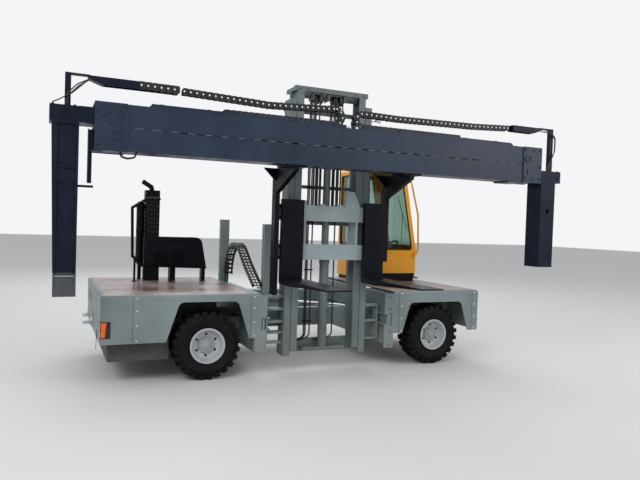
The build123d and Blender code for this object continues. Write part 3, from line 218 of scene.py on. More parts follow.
class Shape:
    """The faces of one piece, gathered in the shared frame. Each method that adds to it returns it."""

    def __init__(self) -> None:
        """Start with no faces."""
        self.mesh = bmesh.new()

    def skin(self, rings: Sequence[Sequence[Vector]], loop: bool = False) -> "Shape":
        """Join rings of equal count with faces.

        Args:
            rings: the points of each ring, in order.
            loop: whether the last ring joins the first. The ends are closed by a face otherwise.

        Returns:
            This shape.
        """
        made = [[self.mesh.verts.new(p) for p in ring] for ring in rings]
        for one, two in zip(made, made[1:] + (made[:1] if loop else [])):
            for i in range(len(one)):
                j = (i + 1) % len(one)
                self.mesh.faces.new((one[i], one[j], two[j], two[i]))
        if not loop:
            self.mesh.faces.new(made[0][::-1])
            self.mesh.faces.new(made[-1])
        return self

    def run(self, outline: Sequence[Flat], way: Way, *stops: float) -> "Shape":
        """Run a flat outline along an axis. Its points have the other two axes in order."""
        rings = [[(stop, *point) for point in outline] for stop in stops]
        return self.skin([[Vector([values[i] for i in way.value]) for values in ring] for ring in rings])

    def block(self, low: Sequence[float], high: Sequence[float]) -> "Shape":
        """Add a block between two corners."""
        (x0, y0, z0), (x1, y1, z1) = low, high
        return self.run(((x0, y0), (x1, y0), (x1, y1), (x0, y1)), Way.Z, z0, z1)

    def turn(self, profile: Sequence[Flat], centre: Sequence[float] = (0, 0, 0),
             axis: Sequence[float] = UPWARD, sides: int = 32, hollow: bool = False) -> "Shape":
        """Turn a profile round an axis.

        Args:
            profile: pairs of radius and distance along the axis.
            centre: where the distance is nought.
            axis: the axis direction.
            sides: faces round the axis.
            hollow: whether the profile is a closed ring section.

        Returns:
            This shape.
        """
        base, along = Vector(centre), Vector(axis).normalized()
        first = along.orthogonal().normalized()
        second = along.cross(first)
        rings = [circle(base + along * out, first, second, radius, sides) for radius, out in profile]
        return self.skin(rings, hollow)

    def rod(self, start: Sequence[float], end: Sequence[float], radius: float, sides: int = 16) -> "Shape":
        """Add a round bar between two points."""
        along = Vector(end) - Vector(start)
        return self.turn(((radius, 0), (radius, along.length)), start, along, sides)

    def tube(self, points: Route, radius: float, bend: float = 0.0, sides: int = 12) -> "Shape":
        """Add a round bar along a route.

        Args:
            points: the route's corners.
            radius: the bar's radius.
            bend: the bend radius, or nought where the route is smooth already.
            sides: faces round the bar.

        Returns:
            This shape.
        """
        route = rounded(points, bend) if bend else [Vector(p) for p in points]
        rings, across = [], None
        for before, here, after in zip(route[:1] + route, route, route[1:] + route[-1:]):
            along = (after - before).normalized()
            across = along.orthogonal() if across is None else across - along * across.dot(along)
            across.normalize()
            rings.append(circle(here, across, along.cross(across), radius, sides))
        return self.skin(rings)

    def data(self, name: str, sharp: float) -> bpy.types.Mesh:
        """Turn the faces into a smooth mesh, with the edges above an angle in degrees kept sharp."""
        bmesh.ops.recalc_face_normals(self.mesh, faces=self.mesh.faces)
        data = bpy.data.meshes.new(name)
        self.mesh.to_mesh(data)
        self.mesh.free()
        data.shade_smooth()
        data.set_sharp_from_angle(angle=math.radians(sharp))
        return data

    def piece(self, name: str, finish: "Finish", body: str | Bend = "chassis", bevel: float = 0.0,
              replaces: Sequence[str] = (), sharp: float = 40.0) -> Piece:
        """Make the piece, dress it and let it ride.

        Args:
            name: the piece's name.
            finish: what it is made of.
            body: the CAD body that carries it, or the two it bends between.
            bevel: width of the worn edge, in metres.
            replaces: CAD nodes that it stands for.
            sharp: the angle above which an edge stays sharp, in degrees.

        Returns:
            The finished object.
        """
        made = link(name, self.data(name, sharp))
        made.data.materials.append(finish.material())
        if bevel:
            edge = made.modifiers.new("edge", "BEVEL")
            edge.width, edge.segments, edge.limit_method = bevel, 2, "ANGLE"
            edge.angle_limit, edge.harden_normals = math.radians(35), True
        return settle(made, body, replaces)


@dataclass
class Coat:
    """The nodes of one material while its finish is laid. Patterns read the row's own metres."""

    tree: Tree
    shader: bpy.types.Node
    place: Socket

    def set(self, name: str, value: object) -> None:
        """Feed an input of the shader."""
        feed(self.tree, self.shader.inputs[name], value)

    def span(self, value: Socket, band: Flat, spread: Flat = (0.0, 1.0)) -> Socket:
        """Spread the values of a band over another."""
        return add(self.tree, "ShaderNodeMapRange",
                   inputs={0: value, 1: band[0], 2: band[1], 3: spread[0], 4: spread[1]}).outputs[0]

    def noise(self, grain_mm: float, detail: float = 3.0, band: Flat = (0.35, 0.65),
              stretch: Point | None = None) -> Socket:
        """Give a noise pattern of a real size.

        Args:
            grain_mm: the size of its patches in millimetres.
            detail: octaves.
            band: the noise values that become nought and one.
            stretch: factors on its three coordinates.

        Returns:
            The pattern's value.
        """
        place = self.place
        if stretch:
            place = add(self.tree, "ShaderNodeMapping", inputs={0: place, 3: stretch}).outputs[0]
        inputs = {"Vector": place, "Scale": 1000 / grain_mm, "Detail": detail}
        return self.span(add(self.tree, "ShaderNodeTexNoise", inputs=inputs).outputs[0], band)

    def mix(self, share: Socket, *pair: str | Socket) -> Socket:
        """Mix two colours, each a hex value or a socket, by a share."""
        one, two = (linear(c) if isinstance(c, str) else c for c in pair)
        return add(self.tree, "ShaderNodeMix", {"data_type": "RGBA"}, {0: share, 6: one, 7: two}).outputs[2]

    def work(self, operation: str, one: Socket, two: Socket | float) -> Socket:
        """Work one value out of two."""
        return add(self.tree, "ShaderNodeMath", {"operation": operation}, {0: one, 1: two}).outputs[0]

    def bump(self, height: Socket, depth_mm: float, strength: float) -> None:
        """Give the shader a bump of a real depth."""
        inputs = {"Strength": strength, "Distance": depth_mm / 1000, "Height": height}
        self.set("Normal", add(self.tree, "ShaderNodeBump", inputs=inputs).outputs[0])


@dataclass(frozen=True)
class Finish:
    """What a piece is made of, and a slot name for it."""

    name: str
    slot: str
    colour: str
    second: str
    rough: float = 0.45

    def material(self) -> bpy.types.Material:
        """Give the material, made once."""
        made = bpy.data.materials.get(self.name)
        if made is None:
            made = bpy.data.materials.new(self.name)
            made.use_nodes = True
            tree = made.node_tree
            tree.nodes.clear()
            shader = add(tree, "ShaderNodeBsdfPrincipled", inputs={"Roughness": self.rough})
            add(tree, "ShaderNodeOutputMaterial", inputs={0: shader.outputs[0]})
            self.lay(Coat(tree, shader, add(tree, "ShaderNodeTexCoord").outputs["Object"]))
        return made

    def lay(self, coat: Coat) -> None:
        """Lay the finish. Each kind has its own way."""
        coat.set("Base Color", linear(self.colour))


@dataclass(frozen=True)
class SprayedSteel(Finish):
    """Two-pack paint sprayed on plate steel: faint orange peel, patchy sheen, dust low down, a few chips."""

    dust: str = "#8d8577"
    dust_share: float = 0.35
    chips: float = 0.02
    shine: float = 0.5
    peel_mm: float = 6.0
    dust_band: Flat = (0.15, 0.75)

    def lay(self, coat: Coat) -> None:
        """Mix the coat, its fading, dust and chips."""
        patch = coat.noise(420.0)
        height = add(coat.tree, "ShaderNodeSeparateXYZ", inputs={0: coat.place}).outputs[2]
        low = coat.span(height, self.dust_band, (self.dust_share, 0.02))
        dusty = coat.work("MULTIPLY", low, coat.noise(70.0, 6.0, (0.3, 0.7)))
        # Chips are drawn about 12 mm wide so that they show
        chip = coat.noise(12.0, 2.0, (0.74 - self.chips, 0.76 - self.chips))
        faded = coat.mix(patch, self.colour, self.second)
        coat.set("Base Color", coat.mix(chip, coat.mix(dusty, faded, self.dust), "#6f6a64"))
        coat.set("Roughness", coat.span(patch, (0.0, 1.0), (self.rough - 0.06, self.rough + 0.10)))
        coat.set("Specular IOR Level", self.shine)
        coat.bump(coat.noise(self.peel_mm, 2.0), 0.25, 0.25)


@dataclass(frozen=True)
class FilmFacedBoard(Finish):
    """Birch plywood with a brown phenol film: a fine wire-mesh print, scuffed paler where loads slide; the
    pale patches also hold painted sheen.
    """

    scratch: str = "#a8968f"

    def lay(self, coat: Coat) -> None:
        """Mix the film, its scuffs with their painted sheen, and the mesh print."""
        # The pale patches are partly real scuffs, partly painted sheen of the sky on the film
        wear_and_sheen = coat.noise(600.0, 5.0, (0.32, 0.66))
        scratched = coat.noise(160.0, 4.0, (0.55, 1.1), stretch=(0.6, 9.0, 1.0))
        coat.set("Base Color", coat.mix(scratched, coat.mix(wear_and_sheen, self.colour, self.second), self.scratch))
        coat.set("Roughness", coat.span(wear_and_sheen, (0.0, 1.0), (self.rough, self.rough + 0.22)))
        # The print's 5 mm mesh is drawn as 12 mm so that it shows
        mesh = add(coat.tree, "ShaderNodeTexVoronoi", {"feature": "DISTANCE_TO_EDGE"},
                   {"Vector": coat.place, "Scale": 1000 / 12})
        coat.bump(mesh.outputs[0], 0.3, 0.25)


@dataclass(frozen=True)
class SolidRubber(Finish):
    """Vulcanised black rubber: matt, greyed with stone dust in patches, finely pitted."""

    def lay(self, coat: Coat) -> None:
        """Mix rubber and dust."""
        coat.set("Base Color", coat.mix(coat.noise(30.0, 6.0, (0.48, 0.80)), self.colour, self.second))
        coat.set("Specular IOR Level", 0.2)
        coat.bump(coat.noise(7.0, 4.0), 0.8, 0.5)


@dataclass(frozen=True)
class BareSteel(Finish):
    """Bare or plated steel: metal, with fine rubbing marks along its length and small stains."""

    stained: float = 0.25

    def lay(self, coat: Coat) -> None:
        """Mix the metal and its stains."""
        coat.set("Metallic", 1.0)
        marks = coat.noise(8.0, 4.0, stretch=(1.0, 1.0, 0.08))
        share = coat.work("MULTIPLY", coat.noise(130.0, 5.0, (0.5, 0.8)), self.stained)
        coat.set("Base Color", coat.mix(share, self.colour, self.second))
        coat.set("Roughness", coat.span(marks, (0.0, 1.0), (self.rough * 0.75, self.rough * 1.3)))
        coat.bump(marks, 0.1, 0.2)


@dataclass(frozen=True)
class Glazing(Finish):
    """Toughened cab glass, faintly green, with a little dust in its sheen."""

    def lay(self, coat: Coat) -> None:
        """Set clear glass with a dusty sheen."""
        for name, value in (("Base Color", linear(self.colour)), ("Transmission Weight", 1.0), ("IOR", 1.5)):
            coat.set(name, value)
        coat.set("Roughness", coat.span(coat.noise(260.0, 5.0), (0.0, 1.0), (self.rough, self.rough + 0.05)))


@dataclass(frozen=True)
class MouldedPlastic(Finish):
    """Moulded plastic or drawn rubber hose: even colour, rubbed patches and a fine spark-eroded grain."""

    grain_mm: float = 3.0

    def lay(self, coat: Coat) -> None:
        """Mix the plastic and its rubbed patches."""
        coat.set("Base Color", coat.mix(coat.noise(90.0, 4.0, (0.5, 0.9)), self.colour, self.second))
        coat.bump(coat.noise(self.grain_mm, 2.0), 0.15, 0.3)


@dataclass(frozen=True)
class WovenCloth(Finish):
    """Woven seat cloth, its 2 mm yarns drawn as 5 mm so that they show."""

    def lay(self, coat: Coat) -> None:
        """Cross three sets of waves for the weave."""
        x, y, z = (add(coat.tree, "ShaderNodeTexWave", {"bands_direction": way},
                       {"Vector": coat.place, "Scale": 60.0, "Distortion": 0.4}).outputs[1] for way in "XYZ")
        cross = coat.work("MAXIMUM", coat.work("MULTIPLY", x, y), z)
        coat.set("Base Color", coat.mix(cross, self.colour, self.second))
        coat.set("Sheen Weight", 0.2)
        coat.bump(cross, 0.6, 0.4)


FRAME_GREY = SprayedSteel("sprayed_steel_grey", "frame_grey", "#707b7d", "#7f8a8b", 0.42)
MAST_GREY = SprayedSteel("sprayed_steel_mast", "mast_grey", "#5c6567", "#6d7778", 0.40, dust_share=0.2)
PLATE_GREY = SprayedSteel("sprayed_steel_plate", "mast_grey", "#879497", "#95a1a4", 0.36, dust_share=0.1)
SLATE = SprayedSteel(
    "sprayed_steel_slate", "spreader_slate", "#1c2638", "#253145", 0.36, "#3e4458", 0.1, 0.0, 0.35)
# Arms, caps and legs: a darker copy of the slate paint, painted shade, as their real paint matches the
# beam's
SHADED_SLATE = SprayedSteel(
    "sprayed_steel_slate_shaded", "spreader_slate", "#070e1f", "#0c162a", 0.36, "#2c3242", 0.1, 0.0, 0.2)
DARK = SprayedSteel(
    "sprayed_steel_black", "black_paint", "#03060d", "#070b14", 0.36, "#25262a", 0.1, 0.0, 0.15)
AXLE_BLACK = SprayedSteel(
    "chassis_black", "axle_black", "#0a0b0c", "#141517", 0.6, "#3f3a34", 0.4, shine=0.3)
CAB_YELLOW = SprayedSteel(
    "sprayed_steel_yellow", "cab_yellow", "#f8a900", "#f3a300", 0.30, "#a08f66", 0.05, 0.0)
RIM_SILVER = SprayedSteel("rim_enamel", "rim_silver", "#b3b8bb", "#a5aaae", 0.30, "#7d7466", 0.25, 0.0)
HUB_GREY = SprayedSteel("hub_enamel", "rim_silver", "#8b9294", "#9aa0a2", 0.38, dust_share=0.25, chips=0.0)
SHOE_GREY = SprayedSteel("shoe_enamel", "rim_silver", "#33373e", "#464b52", 0.36, dust_share=0.1)
CAST = SprayedSteel("cast_iron_grey", "cast_grey", "#2d3031", "#3a3d3e", 0.65, dust_share=0.2, peel_mm=12.0)
# The board's pale second colour is partly scuffed film, partly painted sky sheen
BOARD = FilmFacedBoard("film_faced_board", "deck_board", "#745549", "#b3a49e", 0.22)
RUBBER = SolidRubber("solid_rubber", "tyre_black", "#080809", "#1d1b19", 0.7)
STEEL = BareSteel("rubbed_steel", "worn_steel", "#8f8f90", "#57534e", 0.34)
ZINC = BareSteel("zinc_screws", "worn_steel", "#e3e5e6", "#57534e", 0.30, 0.05)
CHAIN_STEEL = BareSteel("oiled_steel", "worn_steel", "#4a4744", "#57534e", 0.45, 0.6)
CHROME = BareSteel("hard_chrome", "rod_chrome", "#c9ccd0", "#57534e", 0.12, 0.04)
TOW_CHROME = BareSteel("bright_zinc", "tow_chrome", "#c4c6c9", "#57534e", 0.20, 0.15)
GLASS = Glazing("cab_glass_clear", "cab_glazing", "#b4c8be", "#b4c8be", 0.02)
PLASTIC = MouldedPlastic("moulded_black", "plastic_black", "#101012", "#3a3a3a", 0.5)
HOSE = MouldedPlastic("hose_rubber", "plastic_black", "#0c0c0e", "#242426", 0.42, 5.0)
SEAL = MouldedPlastic("window_seal", "plastic_black", "#090909", "#1c1c1d", 0.6)
PIN_WHITE = MouldedPlastic("chain_pin_pale", "plastic_black", "#e4e8ee", "#ced3da", 0.30)
LENS = MouldedPlastic("orange_lens", "lamp_orange", "#f06a10", "#e25a10", 0.16)
RED_LENS = MouldedPlastic("red_lens", "lamp_orange", "#b01810", "#9c1610", 0.16)
CLOTH = WovenCloth("woven_seat", "seat_cloth", "#17181b", "#3b3d42", 0.85)


class Copies:
    """One Geometry Nodes tree that sets a copy of an item on each point of a mesh."""

    tree: Tree | None = None
    ids: dict[str, str] = {}

    @classmethod
    def build(cls) -> None:
        """Build the tree, with its item, size and finish as named inputs."""
        cls.tree = tree = bpy.data.node_groups.new("copies_on_points", "GeometryNodeTree")
        kinds = {"Points": "Geometry", "Item": "Object", "Size": "Float", "Finish": "Material"}
        for name, kind in kinds.items():
            socket = tree.interface.new_socket(name, in_out="INPUT", socket_type="NodeSocket" + kind)
            cls.ids[name] = socket.identifier
        tree.interface.new_socket("Geometry", in_out="OUTPUT", socket_type="NodeSocketGeometry")
        given = add(tree, "NodeGroupInput").outputs
        item = add(tree, "GeometryNodeObjectInfo", inputs={"Object": given["Item"]}).outputs["Geometry"]
        turn = add(tree, "GeometryNodeInputNamedAttribute", {"data_type": "FLOAT_VECTOR"}, {"Name": "turn"})
        turned = add(tree, "FunctionNodeEulerToRotation", inputs={0: turn.outputs[0]}).outputs[0]
        put = add(tree, "GeometryNodeInstanceOnPoints", inputs={
            "Points": given["Points"], "Instance": item, "Rotation": turned, "Scale": given["Size"]})
        real = add(tree, "GeometryNodeRealizeInstances", inputs={0: put.outputs[0]})
        dressed = add(tree, "GeometryNodeSetMaterial",
                      inputs={0: real.outputs[0], "Material": given["Finish"]})
        add(tree, "NodeGroupOutput", inputs={0: dressed.outputs[0]})

    @classmethod
    def make(cls, name: str, item: Shape, places: Sequence[Matrix], finish: Finish,
             body: str | Bend = "chassis", replaces: Sequence[str] = ()) -> Piece:
        """Repeat an item.

        Args:
            name: the finished piece's name.
            item: the item, built round the origin.
            places: where each copy goes and how it is turned.
            finish: what the copies are made of.
            body: the CAD body that carries them, or the two they bend between.
            replaces: CAD nodes that it stands for.

        Returns:
            The finished object.
        """
        if cls.tree is None:
            cls.build()
        source = link(name + "_item", item.data(name + "_item", 35.0))
        cloud = link(name + "_points", bpy.data.meshes.new(name + "_points"))
        cloud.data.from_pydata([m.to_translation() for m in places], [], [])
        turn = cloud.data.attributes.new("turn", "FLOAT_VECTOR", "POINT")
        turn.data.foreach_set("vector", [v for m in places for v in m.to_euler()])
        copies = cloud.modifiers.new("copies", "NODES")
        copies.node_group = cls.tree
        for key, value in (("Item", source), ("Size", 1.0), ("Finish", finish.material())):
            copies[cls.ids[key]] = value
        bpy.context.view_layer.update()
        data = bpy.data.meshes.new_from_object(cloud.evaluated_get(bpy.context.evaluated_depsgraph_get()))
        data.name = name
        for spare in (cloud, source):
            bpy.data.objects.remove(spare)
        return settle(link(name, data), body, replaces)


def facing(place: Sequence[float], out: Sequence[float], spin: float = 0.0) -> Matrix:
    """Give the matrix that puts an item at a place with its Z along a direction."""
    turned = Vector(out).to_track_quat("Z", "Y").to_matrix().to_4x4()
    return Matrix.Translation(Vector(place)) @ turned @ Matrix.Rotation(spin, 4, "Z")


def hex_bolt(width: float, height: float) -> Shape:
    """Make a hexagon head on a round washer, standing on Z = 0."""
    item = Shape().turn(((width * 0.72, 0), (width * 0.72, 0.003)), sides=16)
    head = ((width * 0.56, 0.003), (width * 0.56, height - 0.002), (width * 0.48, height))
    return item.turn(head, sides=6)


def screw_head(radius: float) -> Shape:
    """Make a low round screw head, standing on Z = 0."""
    section = ((1, 0), (0.8, 0.003), (0.35, 0.004), (0.3, 0.002))
    return Shape().turn([(radius * share, z) for share, z in section], sides=12)


def fasten(name: str, places: Route, out: Point, body: str, finish: Finish, width: float) -> None:
    """Put a bolt at each place, its head pointing out."""
    turned = [facing(p, out, 0.4 * i) for i, p in enumerate(places)]
    Copies.make(name, hex_bolt(width, width * 0.55), turned, finish, body)


@dataclass
class Studio:
    """Pale floor, even light and the camera at the photograph's place."""

    eye: Point = (-3.272, -7.515, 1.903)
    yaw: float = 24.131
    pitch: float = -1.414
    roll: float = 1.906
    focal_px: float = 609.288
    wide_px: float = 640.0
    floor_half: float = 60.0
    aim: Point = (0.0, 0.0, 1.2)

    def camera(self) -> None:
        """Set the camera up."""
        yaw, pitch, roll = (math.radians(v) for v in (self.yaw, self.pitch, self.roll))
        ahead = Vector((math.sin(yaw) * math.cos(pitch), math.cos(yaw) * math.cos(pitch), math.sin(pitch)))
        level = Vector((math.cos(yaw), -math.sin(yaw), 0))
        lift = level.cross(ahead)
        right = level * math.cos(roll) + lift * math.sin(roll)
        up = lift * math.cos(roll) - level * math.sin(roll)
        lens = bpy.data.cameras.new("camera")
        lens.sensor_width = 36.0
        lens.lens = self.focal_px / self.wide_px * lens.sensor_width
        lens.clip_end = 200
        made = link("camera", lens)
        made.matrix_world = Matrix.Translation(self.eye) @ Matrix((right, up, -ahead)).transposed().to_4x4()
        bpy.context.scene.camera = made

    def light(self) -> None:
        """Set the sky and the lamps up. The camera sees a paler sky than the one that lights."""
        world = bpy.data.worlds.new("studio")
        world.use_nodes = True
        tree = world.node_tree
        tree.nodes.clear()
        path = add(tree, "ShaderNodeLightPath").outputs
        seen = add(tree, "ShaderNodeMath", {"operation": "MAXIMUM"},
                   {0: path["Is Camera Ray"], 1: path["Is Transmission Ray"]})
        sky = add(tree, "ShaderNodeBackground", inputs={0: linear("#e9edf2"), 1: 0.72})
        wall = add(tree, "ShaderNodeBackground", inputs={0: linear("#f4f5f6"), 1: 1.0})
        both = add(tree, "ShaderNodeMixShader",
                   inputs={0: seen.outputs[0], 1: sky.outputs[0], 2: wall.outputs[0]})
        add(tree, "ShaderNodeOutputWorld", inputs={0: both.outputs[0]})
        bpy.context.scene.world = world
        lamps = (("key", (-9.0, -9.0, 10.0), 7.0, 900.0), ("fill", (9.0, -8.0, 7.0), 8.0, 420.0),
                 ("back", (2.0, 11.0, 9.0), 8.0, 500.0))
        for name, place, size, power in lamps:
            lamp = bpy.data.lights.new(name, "AREA")
            lamp.size, lamp.energy = size, power
            made = link(name, lamp)
            made.location = place
            made.rotation_euler = (Vector(self.aim) - Vector(place)).to_track_quat("-Z", "Y").to_euler()
        bpy.context.scene.view_settings.view_transform = "Standard"

    def floor(self) -> None:
        """Lay the floor."""
        data, half = bpy.data.meshes.new("floor"), self.floor_half
        corners = [(x * half, y * half, 0) for x, y in ((-1, -1), (1, -1), (1, 1), (-1, 1))]
        data.from_pydata(corners, [], [(0, 1, 2, 3)])
        material = bpy.data.materials.new("pale_floor")
        material.use_nodes = True
        shader = material.node_tree.nodes["Principled BSDF"]
        shader.inputs["Base Color"].default_value = linear("#d8d7d4")
        shader.inputs["Roughness"].default_value = 0.8
        data.materials.append(material)
        link("floor", data)


@dataclass
class Wheel:
    """A solid tyre with a block tread on a dished disc rim."""

    name: str
    side: int
    radius: float = 0.415
    width: float = 0.300
    seat: float = 0.195
    lugs: int = 24
    lug_height: float = 0.024
    holes: int = 6
    hole_circle: float = 0.129
    nuts: int = 8
    nut_circle: float = 0.079
    hub: Vector = field(init=False)

    def __post_init__(self) -> None:
        """Find the hub from the CAD tyre."""
        low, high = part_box("tyre_" + self.name)
        self.hub = (low + high) / 2

    def carcass(self) -> Shape:
        """Turn the tyre's body, with ribs on its walls."""
        half, root = self.width / 2, self.radius - self.lug_height
        ribs = ((0, -0.030), (0.014, -0.006), (0.030, -0.002), (0.034, -0.009), (0.042, -0.003),
                (0.120, -0.001), (0.124, 0.001), (0.130, 0.001), (0.134, -0.003))
        shoulder = ((-0.040, -0.008), (-0.016, -0.018), (0, -0.042))
        parts = ((self.seat, ribs), (root, shoulder))
        wall = [(foot + r, half + y) for foot, part in parts for r, y in part]
        profile = wall + [(root + 0.002, 0.0)] + [(r, -y) for r, y in reversed(wall)]
        return Shape().turn(profile, self.hub, FARWARD, 72, hollow=True)

    def lug(self, row: int) -> Shape:
        """Make one tread block at the top of the tyre, from the middle out over the shoulder."""
        half, root, top = self.width / 2, self.radius - self.lug_height - 0.006, self.radius
        rings = []
        # Distance across, lead angle, half angle, top radius, bottom radius
        for across, lead, spread, high, low in (
            (-0.016, -0.030, 0.046, top - 0.001, root), (0.045, 0.000, 0.054, top, root),
            (0.105, 0.030, 0.070, top - 0.001, root - 0.002),
            (half - 0.008, 0.044, 0.080, top - 0.007, root - 0.014),
            (half + 0.001, 0.046, 0.076, top - 0.022, root - 0.026),
        ):
            edge = ((-1, low), (-0.92, high), (0.92, high), (1, low))
            turned = [((lead + spread * share) * row, r) for share, r in edge]
            rings.append([Vector((math.sin(a) * r, across * row, math.cos(a) * r)) for a, r in turned])
        return Shape().skin(rings)

    def rim(self) -> Shape:
        """Turn the rim: band with a rolled lip, dish, disc and the bore for the stub axle."""
        band, lip = self.seat - 0.0003, self.width / 2
        section = (
            (0.0306, -0.070), (0.088, -0.070), (0.088, 0.042), (0.176, 0.042), (0.176, -0.120),
            (band, -0.120), (band, lip), (0.212, lip + 0.0005), (0.2125, lip + 0.0065),
            (0.205, lip + 0.008), (0.190, lip + 0.002), (0.183, lip - 0.012), (0.168, 0.080),
            (0.163, 0.068), (0.154, 0.060), (0.106, 0.0585), (0.003, 0.0590), (0.003, 0.0625),
            (0.0306, 0.0625),
        )
        return Shape().turn(section, self.hub, (0, self.side, 0), 64, hollow=True)

    def ring(self, count: int, radius: float, out: float) -> list[Matrix]:
        """Spread places round the hub, at a distance out of the wheel's middle."""
        turns = (2 * math.pi * (k + 0.5) / count for k in range(count))
        places = (Vector((radius * math.cos(a), out * self.side, radius * math.sin(a))) for a in turns)
        return [facing(self.hub + place, (0, self.side, 0)) for place in places]

    def make(self) -> None:
        """Make the tyre, its blocks, the rim, dark discs of painted shade at the disc's holes, the hub and
        its nuts.
        """
        name, body, step = self.name, "wheel_" + self.name, 2 * math.pi / self.lugs
        self.carcass().piece("tyre_wall_" + name, RUBBER, body, replaces=["tyre_" + name])
        self.rim().piece("rim_disc_" + name, RIM_SILVER, body, replaces=["rim_" + name])
        for row in (-1, 1):
            turns = (Matrix.Rotation(step * (k + 0.25 * row), 4, "Y") for k in range(self.lugs))
            places = [Matrix.Translation(self.hub) @ turn for turn in turns]
            where = "out" if row == self.side else "in"
            Copies.make(f"tread_{name}_{where}", self.lug(row), places, RUBBER, body)
        # No holes are cut in the disc: dark discs stand in for them, painted shade
        hole_shade = Shape().turn(((0.0165, -0.001), (0.0165, 0.0010), (0.0135, 0.0012)), sides=20)
        Copies.make("disc_holes_" + name, hole_shade, self.ring(self.holes, self.hole_circle, 0.0592), SEAL, body)
        nuts = self.ring(self.nuts, self.nut_circle, 0.0815)
        Copies.make("nuts_" + name, hex_bolt(0.020, 0.012), nuts, HUB_GREY, body)
        cap = ((0.101, 0.0585), (0.101, 0.074), (0.097, 0.080), (0.060, 0.084), (0.052, 0.085),
               (0.050, 0.091), (0.044, 0.095), (0.020, 0.097), (0.006, 0.0975))
        Shape().turn(cap, self.hub, (0, self.side, 0), 48).piece("hub_cap_" + name, HUB_GREY, body)


@dataclass
class EnergyChain:
    """A plastic chain of links that carries hoses, drawn link by link with its pale pins."""

    name: str
    across: Point
    width: float
    height: float
    pitch: float = 0.068
    plate: float = 0.007
    pin_radius: float = 0.0095

    def element(self) -> Shape:
        """Make one link: two cranked side plates and two cross bars, X along the chain."""
        shape, half, tall, inside = Shape(), self.pitch / 2, self.height / 2, self.width / 2 - self.plate
        outer = soft_corners((-half, -tall), (half * 0.66, tall), tall * 0.22)
        inner = soft_corners((0.0, -tall * 0.92), (half * 1.1, tall * 0.92), tall * 0.22)
        for side in (-1, 1):
            wall, plate, level = side * self.width / 2, side * self.plate, side * tall * 0.8
            shape.run(outer, Way.Y, wall, wall - plate)
            shape.run(inner, Way.Y, wall - plate * 0.7, wall - plate * 1.8)
            shape.block((-half * 0.5, -inside, level - 0.003), (half * 0.1, inside, level + 0.003))
        return shape

    def make(self, part: str, route: Route, body: str | Bend, replaces: Sequence[str] = ()) -> None:
        """Draw the links and pins of one stretch.

        Args:
            part: the stretch's own name.
            route: its middle line.
            body: what carries it.
            replaces: CAD nodes that it stands for.
        """
        across, places = Vector(self.across), []
        for place, along in walk(route, self.pitch):
            turned = Matrix((along, across, along.cross(across))).transposed().to_4x4()
            places.append(Matrix.Translation(place) @ turned)
        Copies.make(f"{self.name}_{part}_links", self.element(), places, PLASTIC, body, replaces)
        pin = Shape()
        head = ((self.pin_radius, 0), (self.pin_radius, 0.0012), (self.pin_radius * 0.5, 0.0016))
        for side in (-1, 1):
            pin.turn(head, (-self.pitch * 0.28, side * self.width / 2, 0), (0, side, 0), 12)
        Copies.make(f"{self.name}_{part}_pins", pin, places, PIN_WHITE, body)


def hand(side: int) -> str:
    """Name a side along X."""
    return "left" if side < 0 else "right"


